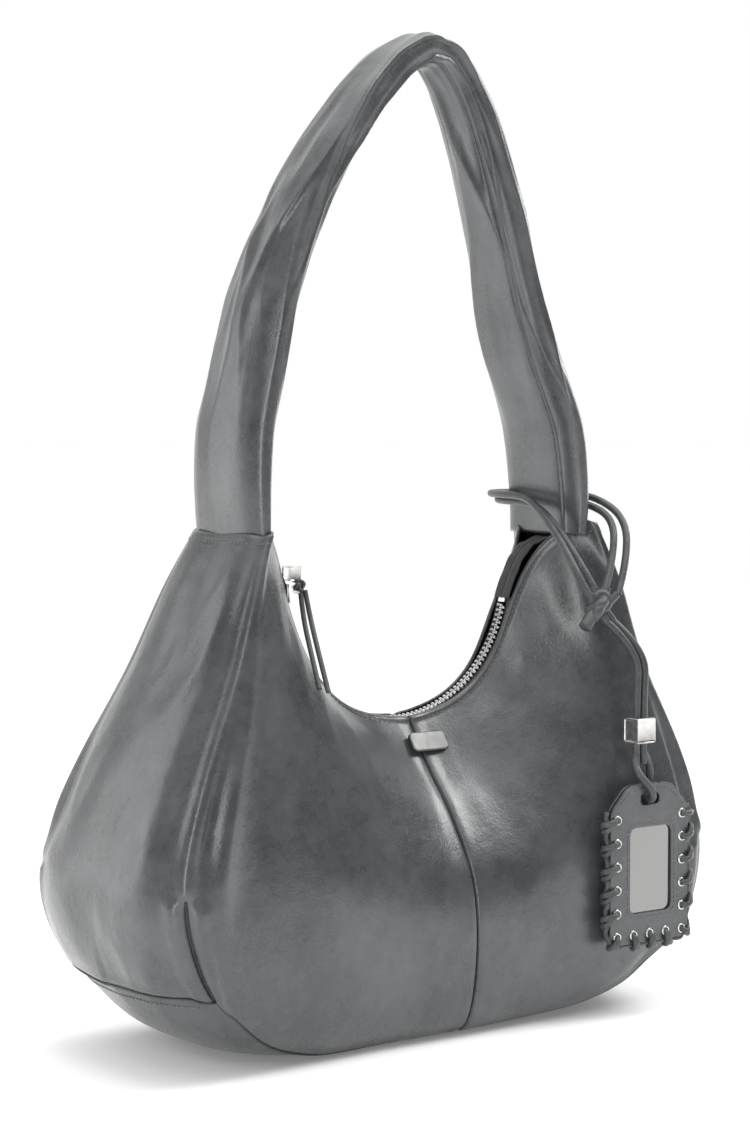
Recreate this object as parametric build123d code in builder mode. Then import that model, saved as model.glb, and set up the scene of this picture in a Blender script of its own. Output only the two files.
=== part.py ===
from build123d import *
import math, os
import numpy as np

os.makedirs("parts", exist_ok=True)

# ---------------------------------------------------------------- driving dimensions, mm
LEATHER = 1.8            # outer leather
BASE_FLAT_Z = 0.0        # the bag stands on z = 0
PEAK_Z = 298.0           # top edge of the two side peaks
RIM_Y = 8.0              # the mouth rims lie this far either side of the zip line
ZIP_CX, ZIP_CZ = -4.0, 266.5     # centre of the arc the zip follows
ZIP_R = 83.0             # rim arc radius
TAPE_R0, TAPE_R1 = 85.0, 85.7    # tape, measured from the arc centre
TAPE_Y0, TAPE_Y1 = 3.15, 4.9
TOOTH_R0, TOOTH_R1 = 82.9, 87.6
TOOTH_PITCH = 3.2        # one side
TOOTH_LONG = 1.35
SLIDER_PHI = -86.0       # slider position when closed, degrees round the arc
ZIP_START, ZIP_END = -80.6, 77.0 # first and last tooth
STRAP_HALF_Y, STRAP_HALF_X = 36.5, 11.0
STRAP_HINGE_Z = 359.0    # height the strap folds about
ROOT_TOP_Z = 322.0
TAG_W, TAG_H = 62.0, 96.0
TAG_X, TAG_Z = 121.0, 94.0       # tag centre
TAG_Y = -89.5                    # tag front face
EYE_R, EYE_HOLE_R = 3.0, 1.7
BEAD = 15.0

# ---------------------------------------------------------------- body form
# ribs run from the base seam up to the mouth rim; the first is the front centre seam,
# the last the middle of the side gusset. (width, depth, height)
BODY = [
 [(0,-52,1.7),(0,-66,10),(0,-74,35),(0,-76,65),(0,-72,92),(0,-61,114),(0,-45,136),(0,-27,156)],
 [(34,-52,1.7),(34,-66.5,10),(34.5,-75,35),(35,-77,65),(35,-73.5,94),(35,-63,118),(35,-47,143),(34.5,-28,166)],
 [(68,-54,1.8),(69,-68.5,11),(70,-76.5,36),(70,-78.5,68),(70,-76,99),(69.5,-67,126),(67,-52,155),(64.5,-32,184)],
 [(102,-59,3.2),(104,-71,14),(106,-79,40),(107,-80,74),(106,-78,107),(103,-70,140),(97,-56,177),(88.5,-33,214)],
 [(135,-66,12),(138,-75,26),(142,-80.5,52),(143,-81,84),(140,-78.5,118),(132,-71,157),(121,-59,202),(109,-40,246)],
 [(160,-72,28),(166,-79,42),(172,-82,65),(173,-81.5,93),(169,-78,127),(157,-70,168),(141,-59,213),(127,-47,257)],
 [(180,-76,45),(187,-78,57),(193,-79.5,76),(196,-79,100),(190.5,-75.5,132),(175,-67.5,173),(155,-57.5,217),(138.5,-47.5,260)],
 [(191,-63,47),(198,-66,60),(205,-67,79),(207.5,-66,102),(201.5,-62,134),(184.5,-55,176),(162.5,-47,220),(145,-39,262)],
 [(200,-33,46),(207,-35,60),(212.5,-35,80),(214,-34.5,103),(207,-32,136),(189.5,-28,178),(167,-24,222),(148.5,-20,264)],
 [(203,0,45.5),(210,0,60),(214.5,0,80),(215.5,0,103),(208.5,0,136.5),(191,0,178.5),(168,0,222.5),(149,0,264.5)],
]
RIGHT_WIDTH = [0.87, 0.865, 0.86, 0.86, 0.865, 0.88, 0.905, 0.955]   # the right side hangs slimmer
RIGHT_LIFT = [0, 0, 2.0, 4.5, 6.0, 5.0, 3.0, 2.0, 1.0, 0.5]          # and its lower corner a little higher


def rim_point(phi):
    a = math.radians(phi)
    return (ZIP_CX + ZIP_R * math.sin(a), -RIM_Y, ZIP_CZ - ZIP_R * math.cos(a))


RIM_PHI = {1: [26.9, 50.5, 76.5], -1: [-20.8, -46.0, -76.5]}
PEAK = [(95, -10, 279), (111.5, -27, PEAK_Z), (120, -38.5, PEAK_Z), (126.5, -31, PEAK_Z),
        (128.5, -15, PEAK_Z), (129, 0, PEAK_Z)]


def quarter(side):
    ribs = []
    for i, rib in enumerate(BODY):
        row = []
        for j, (x, y, z) in enumerate(rib):
            if side > 0:
                x = x * (1 - (1 - RIGHT_WIDTH[j]) * min(1.0, i / 5))
                z = z + RIGHT_LIFT[i] * max(0.0, 1 - j / 4)
            row.append((side * x, y, z))
        if i == 0:
            row.append((0.0, -RIM_Y, ZIP_CZ - math.sqrt(ZIP_R ** 2 - ZIP_CX ** 2)))
        elif i < 4:
            row.append(rim_point(RIM_PHI[side][i - 1]))
        else:
            p = PEAK[i - 4]
            row.append((side * p[0], p[1], p[2]))
        ribs.append(row)
    return np.array(ribs, float)


def cubic(points, t):
    # natural cubic through equally spaced knots
    n = len(points)
    x = np.asarray(t, float) * (n - 1)
    a = np.zeros((n, n))
    b = np.zeros_like(points)
    a[0, 0] = a[-1, -1] = 1
    for i in range(1, n - 1):
        a[i, i - 1], a[i, i], a[i, i + 1] = 1, 4, 1
        b[i] = 6 * (points[i + 1] - 2 * points[i] + points[i - 1])
    m = np.linalg.solve(a, b.reshape(n, -1)).reshape(points.shape)
    i = np.clip(np.floor(x).astype(int), 0, n - 2)
    f = (x - i).reshape((len(x),) + (1,) * (points.ndim - 1))
    return (1 - f) * points[i] + f * points[i + 1] + ((1 - f) ** 3 - (1 - f)) * m[i] / 6 + (f ** 3 - f) * m[i + 1] / 6


def half_surface(side, us, vs):
    q = quarter(side)
    back = q[:-1][::-1].copy()
    back[..., 1] *= -1
    ribs = np.concatenate([q, back])
    a = cubic(np.swapaxes(ribs, 0, 1), vs)
    return cubic(np.swapaxes(a, 0, 1), us)


def inward(side, us, vs, depth):
    # the same surface moved towards the inside of the bag
    e = 1e-3
    us, vs = np.asarray(us, float), np.asarray(vs, float)
    p = half_surface(side, us, vs)
    du = half_surface(side, np.clip(us + e, 0, 1), vs) - half_surface(side, np.clip(us - e, 0, 1), vs)
    dv = half_surface(side, us, np.clip(vs + e, 0, 1)) - half_surface(side, us, np.clip(vs - e, 0, 1))
    n = np.cross(du, dv)
    n /= np.linalg.norm(n, axis=-1, keepdims=True)
    n *= side                      # points outwards for both sides
    return p - n * depth


def sheet(outer, inner):
    # a leather sheet: cross-sections between two grids of points, lofted along the first direction
    outer, inner = np.array(outer, float), np.array(inner, float)
    for k in (0, -1):            # the end sections are laid flat so that they can be closed
        both = np.concatenate([outer[k], inner[k]])
        c = both.mean(0)
        n = np.linalg.svd(both - c)[2][2]
        for g in (outer, inner):
            g[k] -= ((g[k] - c) @ n)[:, None] * n
    wires = []
    for o, i in zip(outer, inner):
        o = [tuple(map(float, p)) for p in o]
        i = [tuple(map(float, p)) for p in i]
        wires.append(Wire([Edge.make_spline(o), Edge.make_line(o[-1], i[-1]),
                           Edge.make_spline(i[::-1]), Edge.make_line(i[0], o[0])]))
    return Solid.make_loft(wires)


def side_sheet(side, us, vs, depth, thick, seam_x):
    o, i = inward(side, us, vs, depth), inward(side, us, vs, depth + thick)
    for g in (o, i):
        g[0, :, 0] = g[-1, :, 0] = side * seam_x     # the two halves meet at the centre seams
    return sheet(o, i)


U = np.linspace(0.0, 1.0, 25)
V = np.linspace(0.0, 1.0, 13)

with BuildPart() as leather_half_left:
    add(side_sheet(-1, U, V, 0.0, LEATHER, 0.12))
with BuildPart() as leather_half_right:
    add(side_sheet(1, U, V, 0.0, LEATHER, 0.12))

# ---------------------------------------------------------------- base panel
ql, qr = quarter(-1)[:, 0], quarter(1)[:, 0]
T = [-1.0, -0.83, -0.43, 0.0, 0.43, 0.83, 1.0]
SEAM_INSET = 1.6


def base_grid():
    g = []
    for q, side in ((ql, -1), (qr, 1)):
        end = [tuple(q[6]), tuple(q[7]), tuple(q[8]), tuple(q[9])]
        end = end + [(p[0], -p[1], p[2]) for p in end[:3][::-1]]
        end = [(p[0] - side * SEAM_INSET, p[1] * 0.975, 45.8) for p in end]
        rows = [end]
        for i, (bulge, mid) in {5: (13, 17), 4: (5, 4.0), 3: (1, -1.4), 2: (0, -1.6), 1: (0, -1.6)}.items():
            e = (q[i][0], abs(q[i][1]) - SEAM_INSET, q[i][2] + 0.2)
            r = []
            for t in T:
                w = 1 - t * t
                r.append((e[0] + side * bulge * w, e[1] * t, mid + (e[2] - mid) * abs(t) ** 4))
            rows.append(r)
        g.append(rows)
    left, right = g
    centre = [(0.0, (52 - SEAM_INSET) * t, -1.6 + 2.5 * abs(t) ** 4) for t in T]
    return np.array(left + [centre] + right[::-1], float)


BG = base_grid()
BG_TOP = BG.copy()
BG_TOP[..., 2] += 3.2
for k, side in ((0, -1), (-1, 1)):       # towards the ends the panel turns upright
    step = 1 if side < 0 else -1
    BG_TOP[k] = BG[k] * [1, 0.96, 1] - [side * 3.0, 0, 0]
    BG_TOP[k + step] = BG[k + step] * [1, 0.985, 1] + [-side * 2.0, 0, 2.6]
    BG_TOP[k + 2 * step] = BG[k + 2 * step] + [-side * 0.8, 0, 3.1]
with BuildPart() as base_panel:
    add(sheet(BG, BG_TOP))
    with BuildSketch(Plane.XY.offset(-12)):
        Rectangle(500, 260)
    extrude(amount=12 + BASE_FLAT_Z, mode=Mode.SUBTRACT)

with BuildPart() as base_board:
    with BuildSketch(Plane.XY.offset(4.2)):
        with Locations((-4, 0)):
            RectangleRounded(176, 76, 10)
    extrude(amount=2.5)

# ---------------------------------------------------------------- lining and mouth facings
with BuildPart() as lining:
    for side in (-1, 1):
        add(side_sheet(side, U, np.linspace(0.07, 0.86, 11), 3.4, 0.6, 0.3))
    with BuildSketch(Plane.XY.offset(7.4)):
        with Locations((-6, 0)):
            RectangleRounded(196, 92, 14)
    extrude(amount=0.6)


def facing(back):
    vs = np.linspace(0.875, 0.955, 5)
    # from the left arm of the mouth across the centre seam to the right arm
    reach = np.linspace(4.3 / 18, 0.0, 9)
    grids = []
    for depth in (2.3, 3.3):
        left = inward(-1, reach, vs, depth)
        right = inward(1, reach[::-1], vs, depth)
        g = np.concatenate([left, right[1:]])
        g[8, :, 0] = 0.0
        if back:
            g = g[::-1].copy()
            g[..., 1] *= -1
        grids.append(g)
    return sheet(grids[0], grids[1])


with BuildPart() as mouth_facing_front:
    add(facing(False))
with BuildPart() as mouth_facing_rear:
    add(facing(True))

# ---------------------------------------------------------------- zip
# the arc lies in a vertical plane through the bag's length; each strip is that arc drawn out across it
ARC = Plane(origin=(ZIP_CX, 0, ZIP_CZ), x_dir=(1, 0, 0), z_dir=(0, -1, 0))   # local x = X, local y = Z


def arc_sector(r0, r1, phi0, phi1):
    # closed outline between two radii; phi measured from straight down
    a0, a1 = math.radians(phi0 - 90), math.radians(phi1 - 90)
    am = (a0 + a1) / 2
    p = lambda r, a: (r * math.cos(a), r * math.sin(a))
    with BuildLine() as outline:
        ThreePointArc(p(r0, a0), p(r0, am), p(r0, a1))
        Line(p(r0, a1), p(r1, a1))
        ThreePointArc(p(r1, a1), p(r1, am), p(r1, a0))
        Line(p(r1, a0), p(r0, a0))
    make_face(outline.edges())


with BuildPart() as zip_tape_front:
    with BuildSketch(ARC.offset(TAPE_Y0)):
        arc_sector(TAPE_R0, TAPE_R1, -89.0, 80.0)
    extrude(amount=TAPE_Y1 - TAPE_Y0)
with BuildPart() as zip_tape_rear:
    with BuildSketch(ARC.offset(-TAPE_Y1)):
        arc_sector(TAPE_R0, TAPE_R1, -89.0, 80.0)
    extrude(amount=TAPE_Y1 - TAPE_Y0)

STEP = math.degrees(TOOTH_PITCH / ZIP_R)
N_TEETH = int((ZIP_END - ZIP_START) / STEP)


def tooth_places(shift):
    out = []
    for k in range(N_TEETH):
        phi = ZIP_START + (k + 0.5 + shift) * STEP
        a = math.radians(phi - 90)
        r = (TOOTH_R0 + TOOTH_R1) / 2
        out.append(Location((r * math.cos(a), r * math.sin(a), 0), (0, 0, phi)))
    return out


with BuildPart() as zip_teeth_front:
    with BuildSketch(ARC.offset(-0.9)):
        with Locations(*tooth_places(0)):
            Rectangle(TOOTH_LONG, TOOTH_R1 - TOOTH_R0)
    extrude(amount=3.9)
with BuildPart() as zip_teeth_rear:
    with BuildSketch(ARC.offset(-3.0)):
        with Locations(*tooth_places(0.5)):
            Rectangle(TOOTH_LONG, TOOTH_R1 - TOOTH_R0)
    extrude(amount=3.9)


def on_arc(r, phi):
    a = math.radians(phi - 90)
    return (r * math.cos(a), r * math.sin(a))


with BuildPart() as zip_end_stops:
    with BuildSketch(ARC.offset(-2.9)):
        with Locations(Location((*on_arc(85.35, 78.4), 0), (0, 0, 78.4))):
            Rectangle(2.4, 4.4)
    extrude(amount=5.8)

with BuildPart() as zip_slider:
    # two plates joined by the divider post; the post is at the end away from the closed chain
    with BuildSketch(ARC.offset(-4.6)):
        arc_sector(80.2, 81.6, SLIDER_PHI - 3.9, SLIDER_PHI + 3.9)
        arc_sector(88.4, 89.6, SLIDER_PHI - 3.9, SLIDER_PHI + 3.9)
    extrude(amount=9.2)
    with BuildSketch(ARC.offset(-1.1)):
        arc_sector(81.4, 88.6, SLIDER_PHI + 0.9, SLIDER_PHI + 3.4)
        arc_sector(78.0, 80.4, SLIDER_PHI - 2.6, SLIDER_PHI + 2.6)
    extrude(amount=2.2)

# pull: a split ring on the slider, a square bead, a knot and two flat thongs
PULL_BEAD = (-79.2, 0.0, 272.2)
PULL_KNOT = (-78.5, -7.2, 265.0)
with BuildPart() as zip_pull_ring:
    with BuildSketch(Plane(origin=(-76.2, 0, 262.8), x_dir=(1, 0, 0), z_dir=(0, 1, 0))):
        Circle(2.9)
        Circle(1.9, mode=Mode.SUBTRACT)
    extrude(amount=0.9, both=True)
with BuildPart() as zip_pull_bead:
    with BuildSketch(Plane.XY.offset(PULL_BEAD[2] - 4.2)):
        with Locations(PULL_BEAD[:2]):
            RectangleRounded(8.4, 8.4, 1.0)
            Circle(2.2, mode=Mode.SUBTRACT)
    extrude(amount=8.4)
with BuildPart() as zip_pull_knot:
    with Locations(PULL_KNOT):
        Sphere(2.6)


def thong(points, radii, r):
    with BuildPart() as p:
        with BuildLine() as path:
            FilletPolyline(*points, radius=radii)
        with BuildSketch(Plane(origin=path.line @ 0, z_dir=path.line % 0)):
            Circle(r)
        sweep()
    return p


def bends(points):
    # the largest even bend at each corner that leaves a straight between neighbours
    out = []
    for a, b, c in zip(points, points[1:], points[2:]):
        a, b, c = Vector(*a), Vector(*b), Vector(*c)
        u, v = b - a, c - b
        half = math.radians(u.get_angle(v)) / 2
        out.append(0.45 * min(u.length, v.length) / math.tan(half))
    return out


def report(name, points, radii, r, part):
    ln = part.part.volume / (math.pi * r * r)
    print(f"{name}: bends {[round(x, 1) for x in radii]} mm, length {ln:.1f} mm, thickness {2 * r:.1f} mm")


THONG_R = 1.5
STRAND_A = [(-79.0, -9.0, 261.0), (-80.5, -13.5, 247.5), (-84.5, -27.0, 229.0), (-88.0, -41.0, 208.5)]
STRAND_B = [(-76.0, -9.0, 262.5), (-76.5, -14.5, 248.5), (-80.0, -27.5, 230.0), (-82.5, -42.0, 206.5)]
ra, rb = bends(STRAND_A), bends(STRAND_B)
zip_pull_strand_a = thong(STRAND_A, ra, THONG_R)
zip_pull_strand_b = thong(STRAND_B, rb, THONG_R)
report("zip_pull_strand_a", STRAND_A, ra, THONG_R, zip_pull_strand_a)
report("zip_pull_strand_b", STRAND_B, rb, THONG_R, zip_pull_strand_b)

# ---------------------------------------------------------------- strap
ROOT_X = {-1: -119.5, 1: 114.0}
with BuildPart() as strap_root_left:
    with BuildSketch(Plane.XY.offset(PEAK_Z + 1.8)):
        with Locations((ROOT_X[-1], 0)):
            Ellipse(STRAP_HALF_X, STRAP_HALF_Y)
    extrude(amount=ROOT_TOP_Z - PEAK_Z - 1.8)
with BuildPart() as strap_root_right:
    with BuildSketch(Plane.XY.offset(PEAK_Z + 1.8)):
        with Locations((ROOT_X[1], 0)):
            Ellipse(STRAP_HALF_X, STRAP_HALF_Y)
    extrude(amount=ROOT_TOP_Z - PEAK_Z - 1.8)

TONGUE_X = {-1: -118.5, 1: 109.0}
ARCH = [(-118.5, 359), (-117.3, 364.5), (-110.5, 388), (-99.5, 430), (-86.5, 462), (-71.5, 492), (-53, 521), (-31.5, 549),
        (-10, 571), (10, 582.5), (26, 579.5), (39, 564), (49.5, 543), (59, 517), (68, 488), (76.5, 458),
        (84, 430), (93.5, 399), (106.7, 364.5), (109, 359)]
HALF_Y = [36.5, 36.1, 34, 31, 29, 27, 25, 23.5, 22, 21, 21, 22, 23.5, 25, 27, 29, 31, 33.5, 36.1, 36.5]
HALF_X = [11, 11.2, 12, 12.5, 12.5, 12, 11.5, 11, 10.5, 10.5, 10.5, 11, 11.5, 12, 12.5, 12.5, 12.5, 12, 11.2, 11]


def arch_plane(i):
    x, z = ARCH[i]
    if i in (0, len(ARCH) - 1):
        d = (0, 0, 1) if i == 0 else (0, 0, -1)
    elif i in (1, len(ARCH) - 2):
        d = (0.13, 0, 1) if i == 1 else (0.17, 0, -1)
    else:
        d = (ARCH[i + 1][0] - ARCH[i - 1][0], 0, ARCH[i + 1][1] - ARCH[i - 1][1])
    return Plane(origin=(x, 0, z), x_dir=(0, 1, 0), z_dir=d)


with BuildPart() as strap_padding:
    for i in range(2, len(ARCH) - 2):
        with BuildSketch(arch_plane(i)):
            Ellipse(HALF_Y[i] - 4.8, HALF_X[i] - 4.8)
    loft()


def sleeve(seam):
    # the leather sleeve round the padding, its two edges meeting at a lengthwise seam
    grids = []
    for wall in (0.0, 2.0):
        g = []
        for i in range(len(ARCH)):
            p = arch_plane(i)
            row = []
            for k in range(29):
                a = seam + 0.006 + (2 * math.pi - 0.012) * k / 28
                y, r = (HALF_Y[i] - wall) * math.cos(a), (HALF_X[i] - wall) * math.sin(a)
                v = p.origin + p.x_dir * y + p.y_dir * r
                row.append((v.X, v.Y, v.Z))
            g.append(row)
        grids.append(g)
    return sheet(grids[0], grids[1])


with BuildPart() as strap:
    add(sleeve(math.radians(-128)))
# below the arch each arm ends in a round-bottomed tongue, centred on the line the strap folds about
with BuildPart() as strap_fold_left:
    with BuildSketch(Plane.XY.offset(STRAP_HINGE_Z - STRAP_HALF_Y)):
        with Locations((TONGUE_X[-1], 0)):
            Ellipse(STRAP_HALF_X, STRAP_HALF_Y)
    extrude(amount=STRAP_HALF_Y - 0.1)
    with Locations(Location((0, 0, STRAP_HINGE_Z), (0, 90, 0))):
        Cylinder(STRAP_HALF_Y - 0.3, 320, mode=Mode.INTERSECT)
with BuildPart() as strap_fold_right:
    with BuildSketch(Plane.XY.offset(STRAP_HINGE_Z - STRAP_HALF_Y)):
        with Locations((TONGUE_X[1], 0)):
            Ellipse(STRAP_HALF_X, STRAP_HALF_Y)
    extrude(amount=STRAP_HALF_Y - 0.1)
    with Locations(Location((0, 0, STRAP_HINGE_Z), (0, 90, 0))):
        Cylinder(STRAP_HALF_Y - 0.3, 320, mode=Mode.INTERSECT)

# ---------------------------------------------------------------- front plaque
V_PLAQUE = 0.928
seat = half_surface(1, [0.004], [V_PLAQUE, V_PLAQUE + 0.02])[0]
slope = (seat[1] - seat[0]) / np.linalg.norm(seat[1] - seat[0])
PLAQUE_N = (0.0, -float(slope[2]), float(slope[1]))
PLAQUE = Plane(origin=(4.0, float(seat[0][1]) + 3.1 * PLAQUE_N[1], float(seat[0][2]) + 3.1 * PLAQUE_N[2]),
               x_dir=(1, 0, 0), z_dir=PLAQUE_N)
with BuildPart() as front_plaque:
    with BuildSketch(PLAQUE):
        RectangleRounded(26, 12.5, 3.0)
    extrude(amount=2.2)
    chamfer(front_plaque.faces().sort_by(Axis(PLAQUE.origin, PLAQUE.z_dir))[-1].edges(), 0.7)
with BuildPart() as plaque_washer:
    with BuildSketch(PLAQUE.offset(-7.85)):
        RectangleRounded(22, 8, 1.5)
    extrude(amount=0.8)

# ---------------------------------------------------------------- hanging charm
CORD_R = 2.3
KNOT = (99.5, -57.5, 249.0)
# the two strands lie side by side round the strap's foot
LOOP_A = [(100, -61.5, 259), (95.5, -57, 270), (94, -42, 288), (96.5, -16, 306), (99, 4, 309.5), (99, 22, 309.5),
          (106, 43.5, 310), (126, 43.5, 310), (130, 16, 309.5), (129.5, -18, 309.5), (129.5, -46, 300),
          (118, -57.5, 274), (107.5, -62.5, 259)]
LOOP_B = [(92.5, -65.5, 255.5), (88.5, -60, 267), (88, -43, 289), (91, -15, 310), (94, 4, 313.8), (94, 22, 313.8),
          (104, 49, 313.8), (129, 49, 313.8), (135, 18, 313.8), (134.5, -20, 313.8), (136, -50, 300),
          (124, -63, 272), (112.5, -68.5, 255.5)]
charm_radii_a, charm_radii_b = bends(LOOP_A), bends(LOOP_B)
charm_loop_cord_a = thong(LOOP_A, charm_radii_a, CORD_R)
charm_loop_cord_b = thong(LOOP_B, charm_radii_b, CORD_R)
report("charm_loop_cord_a", LOOP_A, charm_radii_a, CORD_R, charm_loop_cord_a)
report("charm_loop_cord_b", LOOP_B, charm_radii_b, CORD_R, charm_loop_cord_b)
with BuildPart() as charm_knot:
    with Locations(KNOT):
        Sphere(8.2)

BEAD_AT = (119.0, -81.5, 174.0)
DROP_A = [(104.5, -66.5, 240.0), (119.5, -80.5, 222.0), (116.2, -82.0, 194.0), (116.2, -82.0, 153.5)]
DROP_B = [(110.3, -65.5, 240.0), (125.6, -80.0, 222.0), (121.8, -82.0, 194.0), (121.8, -82.0, 153.5)]
dra, drb = bends(DROP_A), bends(DROP_B)
charm_drop_cord_a = thong(DROP_A, dra, CORD_R)
charm_drop_cord_b = thong(DROP_B, drb, CORD_R)
report("charm_drop_cord_a", DROP_A, dra, CORD_R, charm_drop_cord_a)
report("charm_drop_cord_b", DROP_B, drb, CORD_R, charm_drop_cord_b)

with BuildPart() as charm_bead:
    with BuildSketch(Plane.XY.offset(BEAD_AT[2] - BEAD / 2)):
        with Locations((119.0, -82.0)):
            RectangleRounded(BEAD, BEAD - 2, 1.6)
            SlotOverall(11.2, 5.6, mode=Mode.SUBTRACT)
    extrude(amount=BEAD)

SLOT_Z = TAG_Z + TAG_H / 2 - 9
with BuildPart() as charm_tag_loop:
    # the ring of thong below the bead that holds the tag by its slot
    with Locations(Location((119.0, -87.2, SLOT_Z + 7.4), (0, 90, 0))):
        Torus(8.4, CORD_R)
EYELET_XZ = []
ex, ez0, ez1 = TAG_W / 2 - 5.2, TAG_Z - TAG_H / 2 + 5.2, TAG_Z + 28
for k in range(6):
    z = ez0 + (ez1 - ez0) * k / 5
    EYELET_XZ += [(TAG_X - ex, z), (TAG_X + ex, z)]
for k in range(1, 4):
    EYELET_XZ.append((TAG_X - ex + 2 * ex * k / 4, ez0))

TAGP = Plane(origin=(0, 0, 0), x_dir=(1, 0, 0), z_dir=(0, -1, 0))      # local y = Z, out of it = -Y


def tag_outline(w, h, x, z):
    with BuildLine() as outline:
        Polyline((x - w / 2, z - h / 2 + 4), (x - w / 2 + 4, z - h / 2), (x + w / 2 - 4, z - h / 2),
                 (x + w / 2, z - h / 2 + 4), (x + w / 2, z + h / 2 - 15), (x + w / 2 - 14, z + h / 2),
                 (x - w / 2 + 14, z + h / 2), (x - w / 2, z + h / 2 - 15), close=True)
    make_face(outline.edges())


WINDOW = (33, 52, TAG_X + 1, TAG_Z - 4)
with BuildPart() as charm_tag_front:
    with BuildSketch(TAGP.offset(-TAG_Y - 1.6)):
        tag_outline(TAG_W, TAG_H, TAG_X, TAG_Z)
        with Locations(WINDOW[2:]):
            RectangleRounded(WINDOW[0], WINDOW[1], 5, mode=Mode.SUBTRACT)
        with Locations((TAG_X, SLOT_Z)):
            SlotOverall(15, 7, mode=Mode.SUBTRACT)
        with Locations(*EYELET_XZ):
            Circle(EYE_HOLE_R + 0.55, mode=Mode.SUBTRACT)
    extrude(amount=1.6)
with BuildPart() as charm_tag_back:
    with BuildSketch(TAGP.offset(-TAG_Y - 4.6)):
        tag_outline(TAG_W, TAG_H, TAG_X, TAG_Z)
        with Locations((TAG_X, SLOT_Z)):
            SlotOverall(15, 7, mode=Mode.SUBTRACT)
        with Locations(*EYELET_XZ):
            Circle(EYE_HOLE_R + 0.55, mode=Mode.SUBTRACT)
    extrude(amount=1.6)
with BuildPart() as charm_mirror:
    with BuildSketch(TAGP.offset(-TAG_Y - 2.9)):
        with Locations(WINDOW[2:]):
            RectangleRounded(WINDOW[0] + 5, WINDOW[1] + 6, 5)
    extrude(amount=1.2)
with BuildPart() as charm_eyelets:
    with BuildSketch(TAGP.offset(-TAG_Y - 4.9)):
        with Locations(*EYELET_XZ):
            Circle(EYE_HOLE_R + 0.45)
            Circle(EYE_HOLE_R, mode=Mode.SUBTRACT)
    extrude(amount=5.6)
    with BuildSketch(TAGP.offset(-TAG_Y + 0.05)):
        with Locations(*EYELET_XZ):
            Circle(EYE_R)
            Circle(EYE_HOLE_R, mode=Mode.SUBTRACT)
    extrude(amount=0.65)
LACE_R = 2.1
LX, LZ0, LZ1 = TAG_W / 2 + LACE_R + 0.3, TAG_Z - TAG_H / 2 - LACE_R - 0.3, TAG_Z + 31
with BuildPart() as charm_lacing:
    with BuildLine(Plane(origin=(0, TAG_Y + 2.3, 0), x_dir=(1, 0, 0), z_dir=(0, -1, 0))) as lace:
        FilletPolyline((TAG_X - LX, LZ1), (TAG_X - LX, LZ0), (TAG_X + LX, LZ0), (TAG_X + LX, LZ1), radius=7.5)
    with BuildSketch(Plane(origin=lace.line @ 0, z_dir=lace.line % 0)):
        Circle(LACE_R)
    sweep()

# ---------------------------------------------------------------- write every piece
PIECES = {
    "leather_half_left": leather_half_left, "leather_half_right": leather_half_right,
    "base_panel": base_panel, "base_board": base_board, "lining": lining,
    "mouth_facing_front": mouth_facing_front, "mouth_facing_rear": mouth_facing_rear,
    "zip_tape_front": zip_tape_front, "zip_tape_rear": zip_tape_rear,
    "zip_teeth_front": zip_teeth_front, "zip_teeth_rear": zip_teeth_rear,
    "zip_end_stops": zip_end_stops, "zip_slider": zip_slider, "zip_pull_ring": zip_pull_ring,
    "zip_pull_bead": zip_pull_bead, "zip_pull_knot": zip_pull_knot,
    "zip_pull_strand_a": zip_pull_strand_a, "zip_pull_strand_b": zip_pull_strand_b,
    "strap_root_left": strap_root_left, "strap_root_right": strap_root_right, "strap": strap, "strap_padding": strap_padding,
    "strap_fold_left": strap_fold_left, "strap_fold_right": strap_fold_right,
    "front_plaque": front_plaque, "plaque_washer": plaque_washer,
    "charm_loop_cord_a": charm_loop_cord_a, "charm_loop_cord_b": charm_loop_cord_b,
    "charm_knot": charm_knot, "charm_drop_cord_a": charm_drop_cord_a, "charm_drop_cord_b": charm_drop_cord_b,
    "charm_bead": charm_bead, "charm_tag_loop": charm_tag_loop, "charm_tag_front": charm_tag_front, "charm_tag_back": charm_tag_back,
    "charm_mirror": charm_mirror, "charm_eyelets": charm_eyelets, "charm_lacing": charm_lacing,
}
for name, piece in PIECES.items():
    piece.part.label = name
    export_step(piece.part, f"parts/{name}.step")
    bb = piece.part.bounding_box()
    print(f"{name:22s} vol {piece.part.volume:10.1f}  x {bb.min.X:7.1f} {bb.max.X:7.1f}  y {bb.min.Y:7.1f} {bb.max.Y:7.1f}  z {bb.min.Z:7.1f} {bb.max.Z:7.1f}")
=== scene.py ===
import bpy, bmesh, math
import numpy as np
from mathutils import Vector, Matrix, noise


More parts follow.
